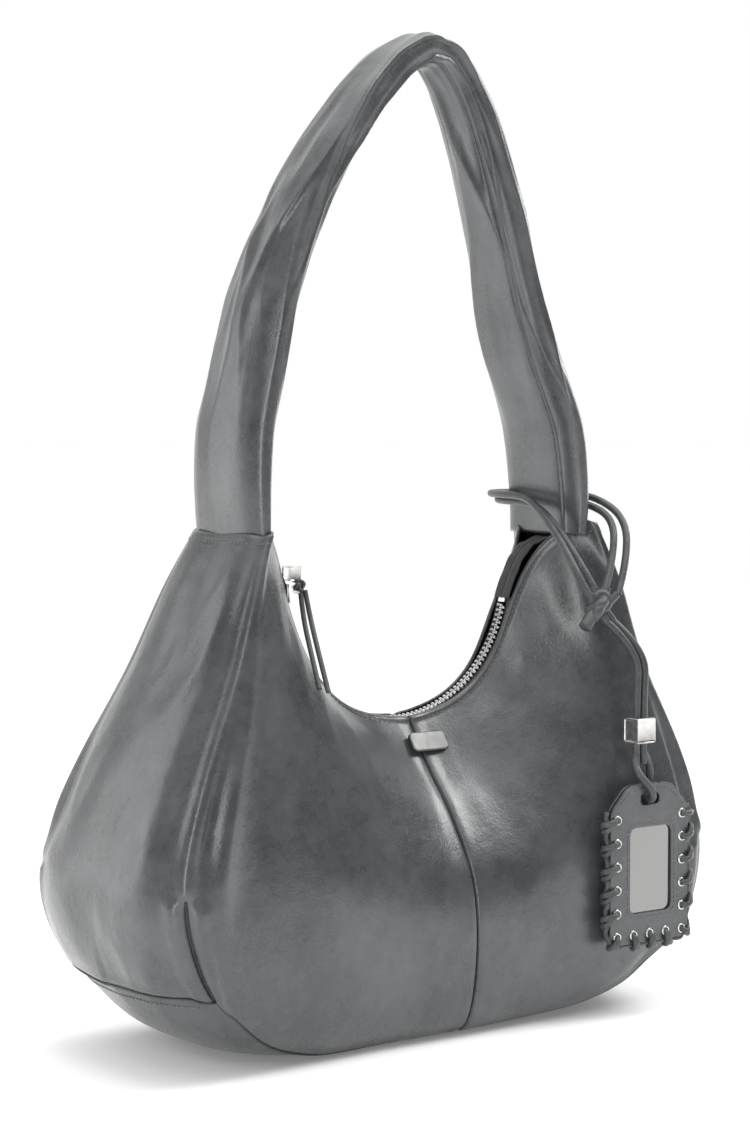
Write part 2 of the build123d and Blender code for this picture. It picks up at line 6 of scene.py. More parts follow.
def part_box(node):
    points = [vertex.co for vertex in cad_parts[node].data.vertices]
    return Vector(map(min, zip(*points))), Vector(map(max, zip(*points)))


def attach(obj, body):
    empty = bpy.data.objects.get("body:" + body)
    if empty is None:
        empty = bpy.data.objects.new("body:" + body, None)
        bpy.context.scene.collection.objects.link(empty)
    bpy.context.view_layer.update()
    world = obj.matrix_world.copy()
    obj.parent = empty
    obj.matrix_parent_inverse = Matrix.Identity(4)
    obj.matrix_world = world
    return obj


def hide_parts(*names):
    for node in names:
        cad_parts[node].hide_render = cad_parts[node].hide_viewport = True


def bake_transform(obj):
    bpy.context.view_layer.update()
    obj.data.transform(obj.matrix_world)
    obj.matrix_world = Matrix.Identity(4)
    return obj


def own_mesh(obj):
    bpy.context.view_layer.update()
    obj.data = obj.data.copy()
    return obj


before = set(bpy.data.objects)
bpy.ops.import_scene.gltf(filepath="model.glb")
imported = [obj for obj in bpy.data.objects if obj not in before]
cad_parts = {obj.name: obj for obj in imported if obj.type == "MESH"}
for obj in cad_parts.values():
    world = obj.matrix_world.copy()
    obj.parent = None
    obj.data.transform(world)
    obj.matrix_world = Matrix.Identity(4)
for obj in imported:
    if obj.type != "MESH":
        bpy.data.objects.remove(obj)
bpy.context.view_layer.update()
MM = 0.001

# ================================================================ camera
cam_d = bpy.data.cameras.new("camera")
cam = bpy.data.objects.new("camera", cam_d)
bpy.context.scene.collection.objects.link(cam)
cam_d.sensor_width = 36.0
cam_d.lens = 84.84
cam.location = (-0.9465, -1.2755, 0.3747)
look = Vector((-0.01914, 0.0, 0.27627))
cam.rotation_euler = (look - cam.location).to_track_quat("-Z", "Y").to_euler()
cam_d.clip_start, cam_d.clip_end = 0.05, 20
bpy.context.scene.camera = cam


# ================================================================ materials
def new_mat(name):
    m = bpy.data.materials.new(name)
    m.use_nodes = True
    nt = m.node_tree
    for n in list(nt.nodes):
        nt.nodes.remove(n)
    out = nt.nodes.new("ShaderNodeOutputMaterial")
    bs = nt.nodes.new("ShaderNodeBsdfPrincipled")
    nt.links.new(bs.outputs[0], out.inputs[0])
    return m, nt, bs


def add(nt, kind, **kw):
    n = nt.nodes.new(kind)
    for k, v in kw.items():
        if k.startswith("i_"):
            n.inputs[k[2:].replace("_", " ")].default_value = v
        else:
            setattr(n, k, v)
    return n


def ramp(nt, stops):
    r = nt.nodes.new("ShaderNodeValToRGB")
    e = r.color_ramp.elements
    e[0].position, e[0].color = stops[0][0], (*stops[0][1], 1)
    e[1].position, e[1].color = stops[-1][0], (*stops[-1][1], 1)
    for p, c in stops[1:-1]:
        x = e.new(p)
        x.color = (*c, 1)
    return r


def leather(name, dark, mid, light, rough=(0.26, 0.42), grain=0.22, coat=0.35, scale=1.0):
    m, nt, bs = new_mat(name)
    L = nt.links
    co = add(nt, "ShaderNodeTexCoord")
    big = add(nt, "ShaderNodeTexNoise", noise_dimensions="3D")
    big.inputs["Scale"].default_value = 22 * scale
    big.inputs["Detail"].default_value = 5
    big.inputs["Roughness"].default_value = 0.62
    mottle = add(nt, "ShaderNodeTexNoise")
    mottle.inputs["Scale"].default_value = 130 * scale
    mottle.inputs["Detail"].default_value = 4
    mottle.inputs["Roughness"].default_value = 0.7
    for t in (big, mottle):
        L.new(co.outputs["Object"], t.inputs["Vector"])
    mixf = add(nt, "ShaderNodeMath", operation="MULTIPLY_ADD")
    mixf.inputs[1].default_value = 0.35
    L.new(mottle.outputs["Fac"], mixf.inputs[0])
    sub = add(nt, "ShaderNodeMath", operation="MULTIPLY")
    sub.inputs[1].default_value = 0.65
    L.new(big.outputs["Fac"], sub.inputs[0])
    L.new(sub.outputs[0], mixf.inputs[2])
    r = ramp(nt, [(0.30, dark), (0.5, mid), (0.72, light)])
    L.new(mixf.outputs[0], r.inputs[0])
    L.new(r.outputs[0], bs.inputs["Base Color"])
    rr = add(nt, "ShaderNodeMapRange")
    rr.inputs["From Min"].default_value = 0.3
    rr.inputs["From Max"].default_value = 0.7
    rr.inputs["To Min"].default_value = rough[0]
    rr.inputs["To Max"].default_value = rough[1]
    L.new(mixf.outputs[0], rr.inputs["Value"])
    L.new(rr.outputs[0], bs.inputs["Roughness"])
    # grain: small cells plus fine creases
    vor = add(nt, "ShaderNodeTexVoronoi", feature="F1")
    vor.inputs["Scale"].default_value = 900 * scale
    fine = add(nt, "ShaderNodeTexNoise")
    fine.inputs["Scale"].default_value = 420 * scale
    fine.inputs["Detail"].default_value = 6
    fine.inputs["Roughness"].default_value = 0.68
    crease = add(nt, "ShaderNodeTexNoise")
    crease.inputs["Scale"].default_value = 75 * scale
    crease.inputs["Detail"].default_value = 3
    crease.inputs["Distortion"].default_value = 0.6
    for t in (vor, fine, crease):
        L.new(co.outputs["Object"], t.inputs["Vector"])
    b1 = add(nt, "ShaderNodeBump")
    b1.inputs["Strength"].default_value = grain
    b1.inputs["Distance"].default_value = 0.0004
    L.new(vor.outputs["Distance"], b1.inputs["Height"])
    b2 = add(nt, "ShaderNodeBump")
    b2.inputs["Strength"].default_value = grain * 1.1
    b2.inputs["Distance"].default_value = 0.0008
    L.new(fine.outputs["Fac"], b2.inputs["Height"])
    L.new(b1.outputs[0], b2.inputs["Normal"])
    b3 = add(nt, "ShaderNodeBump")
    b3.inputs["Strength"].default_value = grain * 0.9
    b3.inputs["Distance"].default_value = 0.0022
    L.new(crease.outputs["Fac"], b3.inputs["Height"])
    L.new(b2.outputs[0], b3.inputs["Normal"])
    L.new(b3.outputs[0], bs.inputs["Normal"])
    bs.inputs["Coat Weight"].default_value = coat
    bs.inputs["Coat Roughness"].default_value = 0.24
    bs.inputs["Specular IOR Level"].default_value = 0.55
    return m


def metal(name, color, rough, brushed=0.0):
    m, nt, bs = new_mat(name)
    L = nt.links
    co = add(nt, "ShaderNodeTexCoord")
    n = add(nt, "ShaderNodeTexNoise")
    n.inputs["Scale"].default_value = 260
    n.inputs["Detail"].default_value = 4
    L.new(co.outputs["Object"], n.inputs["Vector"])
    rr = add(nt, "ShaderNodeMapRange")
    rr.inputs["To Min"].default_value = rough * 0.6
    rr.inputs["To Max"].default_value = rough * 1.6
    L.new(n.outputs["Fac"], rr.inputs["Value"])
    L.new(rr.outputs[0], bs.inputs["Roughness"])
    r = ramp(nt, [(0.25, tuple(c * 0.72 for c in color)), (0.7, color)])
    L.new(n.outputs["Fac"], r.inputs[0])
    L.new(r.outputs[0], bs.inputs["Base Color"])
    bs.inputs["Metallic"].default_value = 1.0
    b = add(nt, "ShaderNodeBump")
    b.inputs["Strength"].default_value = 0.08
    b.inputs["Distance"].default_value = 0.0003
    L.new(n.outputs["Fac"], b.inputs["Height"])
    L.new(b.outputs[0], bs.inputs["Normal"])
    return m


def woven(name, color, scale=1500, rough=0.8):
    m, nt, bs = new_mat(name)
    L = nt.links
    co = add(nt, "ShaderNodeTexCoord")
    w1 = add(nt, "ShaderNodeTexWave", bands_direction="X")
    w2 = add(nt, "ShaderNodeTexWave", bands_direction="Z")
    for w in (w1, w2):
        w.inputs["Scale"].default_value = scale
        w.inputs["Distortion"].default_value = 0.4
        L.new(co.outputs["Object"], w.inputs["Vector"])
    mx = add(nt, "ShaderNodeMath", operation="MAXIMUM")
    L.new(w1.outputs["Fac"], mx.inputs[0])
    L.new(w2.outputs["Fac"], mx.inputs[1])
    r = ramp(nt, [(0.2, tuple(c * 0.45 for c in color)), (0.9, tuple(min(1, c * 1.35) for c in color))])
    L.new(mx.outputs[0], r.inputs[0])
    L.new(r.outputs[0], bs.inputs["Base Color"])
    b = add(nt, "ShaderNodeBump")
    b.inputs["Strength"].default_value = 0.5
    b.inputs["Distance"].default_value = 0.0004
    L.new(mx.outputs[0], b.inputs["Height"])
    L.new(b.outputs[0], bs.inputs["Normal"])
    bs.inputs["Roughness"].default_value = rough
    bs.inputs["Sheen Weight"].default_value = 0.2
    return m


M_BODY = leather("grey_leather", (0.030, 0.033, 0.035), (0.056, 0.060, 0.063), (0.092, 0.097, 0.102), rough=(0.23, 0.34), coat=0.55)
M_THONG = leather("thong_leather", (0.028, 0.032, 0.034), (0.052, 0.058, 0.060), (0.095, 0.102, 0.104), rough=(0.34, 0.5), grain=0.35, coat=0.15, scale=1.6)
M_FACING = leather("facing_leather", (0.03, 0.034, 0.035), (0.05, 0.056, 0.057), (0.08, 0.087, 0.088), rough=(0.4, 0.55), grain=0.3, coat=0.05)
# dark edge leather: the turned edge along the base seam, and painted shade in the dart creases
M_EDGE_AND_DART_SHADE = leather("edge_and_dart_shade_leather", (0.02, 0.023, 0.024), (0.035, 0.039, 0.04), (0.06, 0.065, 0.066), rough=(0.4, 0.55), grain=0.25, coat=0.1)
M_THREAD = woven("thread", (0.13, 0.137, 0.14), scale=2500, rough=0.6)
M_METAL = metal("nickel", (0.74, 0.73, 0.71), 0.2)
M_DARKMETAL = metal("dark_metal", (0.13, 0.13, 0.128), 0.3)
M_TEETH = metal("zip_metal", (0.62, 0.62, 0.61), 0.26)
M_MIRROR, _nt, _bs = new_mat("mirror_glass")
_co = add(_nt, "ShaderNodeTexCoord")
_no = add(_nt, "ShaderNodeTexNoise")
_no.inputs["Scale"].default_value = 6
_nt.links.new(_co.outputs["Object"], _no.inputs["Vector"])
_rp = ramp(_nt, [(0.3, (0.23, 0.23, 0.227)), (0.7, (0.26, 0.26, 0.257))])
_nt.links.new(_no.outputs["Fac"], _rp.inputs[0])
_nt.links.new(_rp.outputs[0], _bs.inputs["Base Color"])
_bs.inputs["Metallic"].default_value = 1.0
_bs.inputs["Roughness"].default_value = 0.06
M_LINING = woven("lining_cloth", (0.03, 0.03, 0.033), scale=700)
M_ZIPCLOTH = woven("zip_cloth", (0.022, 0.022, 0.025), scale=1200)
M_BOARD = woven("board", (0.33, 0.28, 0.22), scale=300)
M_WAD = woven("wadding", (0.7, 0.69, 0.65), scale=200)


# ================================================================ helpers
def mesh_obj(name, verts, faces, mat, smooth=True, scale=MM):
    me = bpy.data.meshes.new(name)
    me.from_pydata([tuple(float(c) * scale for c in v) for v in verts], [], faces)
    me.materials.append(mat)
    if smooth:
        me.polygons.foreach_set("use_smooth", [True] * len(me.polygons))
    me.update()
    o = bpy.data.objects.new(name, me)
    bpy.context.scene.collection.objects.link(o)
    return o


def apply_mods(o):
    dg = bpy.context.evaluated_depsgraph_get()
    ev = o.evaluated_get(dg)
    me = bpy.data.meshes.new_from_object(ev)
    o.modifiers.clear()
    old = o.data
    o.data = me
    me.polygons.foreach_set("use_smooth", [True] * len(me.polygons))
    return o


def fix_normals(o):
    bm = bmesh.new()
    bm.from_mesh(o.data)
    bmesh.ops.recalc_face_normals(bm, faces=bm.faces[:])
    bm.to_mesh(o.data)
    bm.free()
    return o


def sheet_mesh(name, outer, inner, mat):
    """closed sheet between two grids (nu, nv, 3)"""
    nu, nv = outer.shape[:2]
    V = np.concatenate([outer.reshape(-1, 3), inner.reshape(-1, 3)])
    n = nu * nv
    F = []
    idx = lambda i, j: i * nv + j
    for i in range(nu - 1):
        for j in range(nv - 1):
            F.append((idx(i, j), idx(i, j + 1), idx(i + 1, j + 1), idx(i + 1, j)))
            F.append((n + idx(i, j), n + idx(i + 1, j), n + idx(i + 1, j + 1), n + idx(i, j + 1)))
    for i in range(nu - 1):
        for j in (0, nv - 1):
            F.append((idx(i, j), idx(i + 1, j), n + idx(i + 1, j), n + idx(i, j)))
    for j in range(nv - 1):
        for i in (0, nu - 1):
            F.append((idx(i, j), idx(i, j + 1), n + idx(i, j + 1), n + idx(i, j)))
    return fix_normals(mesh_obj(name, V, F, mat))


def capsule_set(name, segs, radius, mat, sides=6):
    """many short rounded bars: segs = [(p0, p1)] in mm"""
    V, F = [], []
    for p0, p1 in segs:
        p0, p1 = Vector(p0), Vector(p1)
        d = (p1 - p0)
        L = d.length
        if L < 1e-6:
            continue
        d /= L
        a = d.orthogonal().normalized()
        b = d.cross(a)
        base = len(V)
        rings = [(0.0, 0.35), (0.18, 1.0), (0.82, 1.0), (1.0, 0.35)]
        for t, s in rings:
            c = p0 + d * (L * t)
            for k in range(sides):
                an = 2 * math.pi * k / sides
                V.append(c + (a * math.cos(an) + b * math.sin(an)) * radius * s)
        for r in range(3):
            for k in range(sides):
                k2 = (k + 1) % sides
                F.append((base + r * sides + k, base + r * sides + k2, base + (r + 1) * sides + k2, base + (r + 1) * sides + k))
        F.append(tuple(base + k for k in reversed(range(sides))))
        F.append(tuple(base + 3 * sides + k for k in range(sides)))
    return mesh_obj(name, V, F, mat)


def resample(P, step):
    P = np.asarray(P, float)
    s = np.concatenate([[0], np.cumsum(np.linalg.norm(np.diff(P, axis=0), axis=1))])
    n = max(2, int(s[-1] / step) + 1)
    t = np.linspace(0, s[-1], n)
    return np.stack([np.interp(t, s, P[:, k]) for k in range(3)], 1)


def stitch_line(P, N, pitch=3.4, long=2.5, sink=0.05):
    """bars along a path P (mm) standing just proud of the surface with normals N"""
    P, N = np.asarray(P, float), np.asarray(N, float)
    s = np.concatenate([[0], np.cumsum(np.linalg.norm(np.diff(P, axis=0), axis=1))])
    out = []
    k = 0.5
    while (k + 0.5) * pitch < s[-1]:
        a, b = k * pitch - long / 2, k * pitch + long / 2
        q = []
        for t in (a, b):
            p = np.array([np.interp(t, s, P[:, c]) for c in range(3)])
            n = np.array([np.interp(t, s, N[:, c]) for c in range(3)])
            n /= np.linalg.norm(n) + 1e-9
            q.append(p + n * sink)
        out.append((q[0], q[1]))
        k += 1
    return out


def nurbs(name, pts, radius, mat, res=10, profile=None):
    cu = bpy.data.curves.new(name, "CURVE")
    cu.dimensions = "3D"
    sp = cu.splines.new("NURBS")
    sp.points.add(len(pts) - 1)
    for i, p in enumerate(pts):
        sp.points[i].co = (p[0] * MM, p[1] * MM, p[2] * MM, 1)
    sp.order_u = 3
    sp.use_endpoint_u = True
    cu.resolution_u = res
    cu.bevel_depth = radius * MM
    cu.bevel_resolution = 4
    cu.use_fill_caps = True
    cu.materials.append(mat)
    o = bpy.data.objects.new(name, cu)
    bpy.context.scene.collection.objects.link(o)
    return o


def curve_line(pts, res=14):
    """points (mm) along the NURBS line through these control points"""
    o = nurbs("tmp_line", pts, 0.0, M_THREAD, res)
    me = bpy.data.meshes.new_from_object(o.evaluated_get(bpy.context.evaluated_depsgraph_get()))
    P = np.array([v.co[:] for v in me.vertices]) / MM
    bpy.data.objects.remove(o)
    return P


def tube(name, P, radius, mat, sides=10, flat=1.0, closed=False, twist=0.0):
    """mesh tube along points (mm); radius number or list"""
    P = np.asarray(P, float)
    n = len(P)
    rad = np.full(n, radius) if np.isscalar(radius) else np.asarray(radius)
    T = np.gradient(P, axis=0) if not closed else (np.roll(P, -1, 0) - np.roll(P, 1, 0))
    T /= np.linalg.norm(T, axis=1, keepdims=True)
    a = np.cross(T[0], [0, 0, 1.0])
    if np.linalg.norm(a) < 0.1:
        a = np.cross(T[0], [0, 1.0, 0])
    V, F = [], []
    for i in range(n):
        a = a - T[i] * np.dot(a, T[i])
        a /= np.linalg.norm(a)
        b = np.cross(T[i], a)
        for k in range(sides):
            an = 2 * math.pi * k / sides + twist * i
            V.append(P[i] + (a * math.cos(an) + b * math.sin(an) * flat) * rad[i])
    m = n if closed else n - 1
    for i in range(m):
        i2 = (i + 1) % n
        for k in range(sides):
            k2 = (k + 1) % sides
            F.append((i * sides + k, i * sides + k2, i2 * sides + k2, i2 * sides + k))
    if not closed:
        F.append(tuple(range(sides))[::-1])
        F.append(tuple((n - 1) * sides + k for k in range(sides)))
    return fix_normals(mesh_obj(name, V, F, mat))


def join(name, objs):
    """merge mesh objects into one new object, removing the originals"""
    bm = bmesh.new()
    mats = []
    for o in objs:
        off = {}
        for i, m in enumerate(o.data.materials):
            if m not in mats:
                mats.append(m)
            off[i] = mats.index(m)
        n0 = len(bm.faces)
        bm.from_mesh(o.data)
        bm.faces.ensure_lookup_table()
        for f in bm.faces[n0:]:
            f.material_index = off.get(f.material_index, 0)
    me = bpy.data.meshes.new(name)
    bm.to_mesh(me)
    bm.free()
    for m in mats:
        me.materials.append(m)
    for o in objs:
        bpy.data.objects.remove(o)
    r = bpy.data.objects.new(name, me)
    bpy.context.scene.collection.objects.link(r)
    return r


# ================================================================ cords (route points as in the CAD, mm)
CORD_R, THONG_R = 2.3, 1.5
LOOP_A = [(100, -61.5, 259), (95.5, -57, 270), (94, -42, 288), (96.5, -16, 306), (99, 4, 309.5), (99, 22, 309.5),
          (106, 43.5, 310), (126, 43.5, 310), (130, 16, 309.5), (129.5, -18, 309.5), (129.5, -46, 300),
          (118, -57.5, 274), (107.5, -62.5, 259)]
LOOP_B = [(92.5, -65.5, 255.5), (88.5, -60, 267), (88, -43, 289), (91, -15, 310), (94, 4, 313.8), (94, 22, 313.8),
          (104, 49, 313.8), (129, 49, 313.8), (135, 18, 313.8), (134.5, -20, 313.8), (136, -50, 300),
          (124, -63, 272), (112.5, -68.5, 255.5)]
DROP_A = [(104.5, -66.5, 240.0), (119.5, -80.5, 222.0), (116.2, -82.0, 194.0), (116.2, -82.0, 153.5)]
DROP_B = [(110.3, -65.5, 240.0), (125.6, -80.0, 222.0), (121.8, -82.0, 194.0), (121.8, -82.0, 153.5)]
STRAND_A = [(-79.0, -9.0, 261.0), (-80.5, -13.5, 247.5), (-84.5, -27.0, 229.0), (-88.0, -41.0, 208.5)]
STRAND_B = [(-76.0, -9.0, 262.5), (-76.5, -14.5, 248.5), (-80.0, -27.5, 230.0), (-82.5, -42.0, 206.5)]


CORDS = {}
for nm, pts, r, body, node, end in (
        ("charm_loop_a", LOOP_A, CORD_R, "bag", "charm_loop_cord_a", "object"),
        ("charm_loop_b", LOOP_B, CORD_R, "bag", "charm_loop_cord_b", "object"),
        ("charm_drop_a", DROP_A, CORD_R, "charm_drop", "charm_drop_cord_a", "object"),
        ("charm_drop_b", DROP_B, CORD_R, "charm_drop", "charm_drop_cord_b", "object"),
        ("zip_strand_a", STRAND_A, THONG_R, "zip_strands", "zip_pull_strand_a", "bare"),
        ("zip_strand_b", STRAND_B, THONG_R, "zip_strands", "zip_pull_strand_b", "bare")):
    line = curve_line(pts)
    CORDS[nm] = line
    o = nurbs(nm, pts, r, M_THONG)
    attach(o, body)
    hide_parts(node)

# ================================================================ body form (as in the CAD)
LEATHER = 1.8
PEAK_Z, RIM_Y, ZIP_CX, ZIP_CZ, ZIP_R = 298.0, 8.0, -4.0, 266.5, 83.0
BODY = [
 [(0,-52,1.7),(0,-66,10),(0,-74,35),(0,-76,65),(0,-72,92),(0,-61,114),(0,-45,136),(0,-27,156)],
 [(34,-52,1.7),(34,-66.5,10),(34.5,-75,35),(35,-77,65),(35,-73.5,94),(35,-63,118),(35,-47,143),(34.5,-28,166)],
 [(68,-54,1.8),(69,-68.5,11),(70,-76.5,36),(70,-78.5,68),(70,-76,99),(69.5,-67,126),(67,-52,155),(64.5,-32,184)],
 [(102,-59,3.2),(104,-71,14),(106,-79,40),(107,-80,74),(106,-78,107),(103,-70,140),(97,-56,177),(88.5,-33,214)],
 [(135,-66,12),(138,-75,26),(142,-80.5,52),(143,-81,84),(140,-78.5,118),(132,-71,157),(121,-59,202),(109,-40,246)],
 [(160,-72,28),(166,-79,42),(172,-82,65),(173,-81.5,93),(169,-78,127),(157,-70,168),(141,-59,213),(127,-47,257)],
 [(180,-76,45),(187,-78,57),(193,-79.5,76),(196,-79,100),(190.5,-75.5,132),(175,-67.5,173),(155,-57.5,217),(138.5,-47.5,260)],
 [(191,-63,47),(198,-66,60),(205,-67,79),(207.5,-66,102),(201.5,-62,134),(184.5,-55,176),(162.5,-47,220),(145,-39,262)],
 [(200,-33,46),(207,-35,60),(212.5,-35,80),(214,-34.5,103),(207,-32,136),(189.5,-28,178),(167,-24,222),(148.5,-20,264)],
 [(203,0,45.5),(210,0,60),(214.5,0,80),(215.5,0,103),(208.5,0,136.5),(191,0,178.5),(168,0,222.5),(149,0,264.5)],
]
RIGHT_WIDTH = [0.87, 0.865, 0.86, 0.86, 0.865, 0.88, 0.905, 0.955]
RIGHT_LIFT = [0, 0, 2.0, 4.5, 6.0, 5.0, 3.0, 2.0, 1.0, 0.5]
RIM_PHI = {1: [26.9, 50.5, 76.5], -1: [-20.8, -46.0, -76.5]}
PEAK = [(95, -10, 279), (111.5, -27, PEAK_Z), (120, -38.5, PEAK_Z), (126.5, -31, PEAK_Z),
        (128.5, -15, PEAK_Z), (129, 0, PEAK_Z)]


def rim_point(phi):
    a = math.radians(phi)
    return (ZIP_CX + ZIP_R * math.sin(a), -RIM_Y, ZIP_CZ - ZIP_R * math.cos(a))


def quarter(side):
    ribs = []
    for i, rib in enumerate(BODY):
        row = []
        for j, (x, y, z) in enumerate(rib):
            if side > 0:
                x = x * (1 - (1 - RIGHT_WIDTH[j]) * min(1.0, i / 5))
                z = z + RIGHT_LIFT[i] * max(0.0, 1 - j / 4)
            row.append((side * x, y, z))
        if i == 0:
            row.append((0.0, -RIM_Y, ZIP_CZ - math.sqrt(ZIP_R ** 2 - ZIP_CX ** 2)))
        elif i < 4:
            row.append(rim_point(RIM_PHI[side][i - 1]))
        else:
            p = PEAK[i - 4]
            row.append((side * p[0], p[1], p[2]))
        ribs.append(row)
    return np.array(ribs, float)


def cubic(points, t):
    n = len(points)
    x = np.asarray(t, float) * (n - 1)
    a = np.zeros((n, n))
    b = np.zeros_like(points)
    a[0, 0] = a[-1, -1] = 1
    for i in range(1, n - 1):
        a[i, i - 1], a[i, i], a[i, i + 1] = 1, 4, 1
        b[i] = 6 * (points[i + 1] - 2 * points[i] + points[i - 1])
    m = np.linalg.solve(a, b.reshape(n, -1)).reshape(points.shape)
    i = np.clip(np.floor(x).astype(int), 0, n - 2)
    f = (x - i).reshape((len(x),) + (1,) * (points.ndim - 1))
    return (1 - f) * points[i] + f * points[i + 1] + ((1 - f) ** 3 - (1 - f)) * m[i] / 6 + (f ** 3 - f) * m[i + 1] / 6


def half_surface(side, us, vs):
    q = quarter(side)
    back = q[:-1][::-1].copy()
    back[..., 1] *= -1
    ribs = np.concatenate([q, back])
    a = cubic(np.swapaxes(ribs, 0, 1), vs)
    return cubic(np.swapaxes(a, 0, 1), us)


def normals(side, us, vs):
    e = 1e-3
    us, vs = np.asarray(us, float), np.asarray(vs, float)
    du = half_surface(side, np.clip(us + e, 0, 1), vs) - half_surface(side, np.clip(us - e, 0, 1), vs)
    dv = half_surface(side, us, np.clip(vs + e, 0, 1)) - half_surface(side, us, np.clip(vs - e, 0, 1))
    n = np.cross(du, dv)
    n /= np.linalg.norm(n, axis=-1, keepdims=True)
    return n * side


def g(x, s):
    return np.exp(-(x / s) ** 2)


def sm(x, a, b):
    t = np.clip((x - a) / (b - a), 0, 1)
    return t * t * (3 - 2 * t)


def relief(side, P, us, vs):
    """how far the leather stands off the plain form, mm: seams, darts, folds and slack"""
    nu, nv = P.shape[:2]
    r = us[:, None] * 18.0          # rib number, 0 front centre .. 9 gusset middle .. 18 back centre
    q = vs[None, :] * 8.0           # row number, 0 base seam .. 8 rim
    rf = np.minimum(r, 18 - r)      # the same front and back
    seg = np.linalg.norm(np.diff(P, axis=0), axis=2)
    s0 = np.concatenate([np.zeros((1, nv)), np.cumsum(seg, 0)])
    sd = np.minimum(s0, s0[-1:] - s0)
    qv = vs * 8.0

    def away(line):
        """distance in mm along each row from a line given as rib number per row, front and back alike"""
        f = np.array([np.interp(line[j], us * 18.0, s0[:, j]) for j in range(nv)])
        k = np.array([s0[-1, j] - np.interp(18 - line[j], us * 18.0, s0[:, j]) for j in range(nv)])
        return np.where(r < 9, s0 - f[None, :], (s0[-1:] - s0) - k[None, :])

    d = -1.9 * g(sd, 0.8) + 0.5 * g(sd - 4, 3.5)
    # dart from the base seam up to row 3, bending forward towards its foot
    dm = away(6.0 + 0.30 * np.sin(np.clip(qv / 3.1, 0, 1) * 1.75))
    up = 1 - sm(q, 2.95, 3.2)
    d = d + up * (-2.0 * g(dm, 0.9) - 1.9 * g(dm, 3.0) + 2.0 * g(dm - 8, 5.0) + 2.2 * g(dm + 8, 5.0))
    d = d + 2.2 * g(dm, 5) * g((q - 3.28) * 26, 7)
    # two folds run on from the dart up to the front corner of the peak, with a valley between
    l1 = 6.28 - 0.40 * sm(qv, 3.0, 7.4)
    l2 = 5.30 + 0.45 * sm(qv, 4.2, 8.0)
    m1, m2 = away(l1), away(l2)
    mv = away((l1 + l2) / 2 + 0.02)
    amp = sm(q, 3.0, 4.3) * (1 - 0.45 * sm(q, 6.9, 7.9))
    amp2 = sm(q, 1.8, 4.2) * (1 - 0.45 * sm(q, 6.9, 7.9))
    wide = 1 - 0.45 * sm(q, 5.5, 7.5)
    d = d + amp * 3.6 * g(m1, 6.0 * wide) + amp2 * 3.8 * g(m2, 7.0 * wide) - amp * 3.6 * g(mv, 7.0 * wide)
    d = d - 2.2 * g(away(l1 + 0.75), 9 * wide) * amp - 1.4 * g(away(l2 - 0.8), 12) * amp2
    # gusset: hollow down its middle near the top, fullness lower down
    mid = (r - 9)
    d = d - 3.0 * g(mid * 15, 14) * sm(q, 4.6, 7.0) * (1 - 0.5 * sm(q, 7.2, 8))
    d = d + 2.0 * g((mid + 0.9) * 17, 17) * g(q - 2.0, 1.3) + 1.2 * g((mid - 1.4) * 17, 15) * g(q - 2.6, 1.2)
    d = d - 1.6 * g((mid - 0.2) * 17, 9) * g(q - 1.6, 1.1)
    # slack folds fanning out from the ends of the mouth
    for base_r, lean, w, h in ((2.7, 0.20, 15, 0.9), (3.6, 0.26, 13, -1.3), (4.5, 0.24, 12, 1.2)):
        m = away(base_r + lean * (7.4 - qv) * 0.5)
        d = d + h * g(m, w) * sm(q, 4.2, 6.4) * (1 - sm(q, 7.3, 7.95))
    # the base seam pulls the leather into shallow waves
    d = d + 0.9 * np.sin(rf * 3.6 + 1.1 * side + (r > 9) * 2.0) * g(q - 0.7, 0.75) * sm(rf, 2.5, 4.5)
    N = np.zeros((nu, nv))
    for i in range(nu):
        for j in range(nv):
            p = P[i, j]
            n1 = noise.noise(Vector((p[0] * 0.016 + 11 * side, p[1] * 0.02, p[2] * 0.010)))
            n2 = noise.noise(Vector((p[0] * 0.040, p[1] * 0.045 + 5, p[2] * 0.018 + 3 * side)))
            n3 = noise.noise(Vector((p[0] * 0.11, p[1] * 0.11, p[2] * 0.05)))
            N[i, j] = n1 * 2.6 + (0.3 - abs(n2)) * 0.9 + n3 * 0.15
    calm = (1 - 0.75 * g(sd, 10)) * (1 - 0.85 * g(m1, 13)) * (1 - 0.85 * g(m2, 14)) * (1 - 0.9 * sm(q, 7.2, 7.95)) * (0.25 + 0.75 * sm(q, 0.0, 0.8))
    d = d + N * calm
    # folded top edge of the peaks: a band that stands proud, with a crease under it
    z = P[..., 2]
    band = (rf > 4.6) * sm(z, 290.5, 291.5)
    d = d + 0.45 * band - 0.5 * (rf > 4.6) * g(z - 292.6, 0.8) - 0.7 * (rf > 4.6) * g(z - 298.2, 1.0)
    # rim of the mouth is turned in, with a shallow channel at the stitching
    top = np.linalg.norm(np.diff(P, axis=1), axis=2)
    dt = np.concatenate([np.cumsum(top[:, ::-1], 1)[:, ::-1], np.zeros((nu, 1))], 1)
    d = d + (rf < 4.6) * (0.55 * (1 - sm(dt, 3.2, 5.0)) - 0.35 * g(dt - 4.6, 0.9) - 0.7 * g(dt, 0.8))
    # lower edge is turned under and rounded off into the seam
    bt = np.concatenate([np.zeros((nu, 1)), np.cumsum(top, 1)], 1)
    d = d - 2.0 * g(bt, 1.2) + 0.7 * g(bt - 4.0, 2.5)
    return d


def u_samples():
    t = list(np.arange(0, 18, 1 / 12))
    t += list(np.arange(5.97, 6.45, 0.022)) + list(np.arange(11.55, 12.03, 0.022))
    for c, sides in ((0, (1,)), (18, (-1,))):
        for sg in sides:
            t += [c + sg * e for e in (0.0, 0.012, 0.025, 0.04, 0.055, 0.075, 0.10, 0.125, 0.16, 0.2, 0.25, 0.29)]
    t = np.unique(np.round(np.array(t + [18.0]), 4))
    keep = [t[0]]
    for x in t[1:]:
        if x - keep[-1] > 0.0099 or x in (6.0, 12.0, 18.0):
            keep.append(x)
    return np.array(keep) / 18


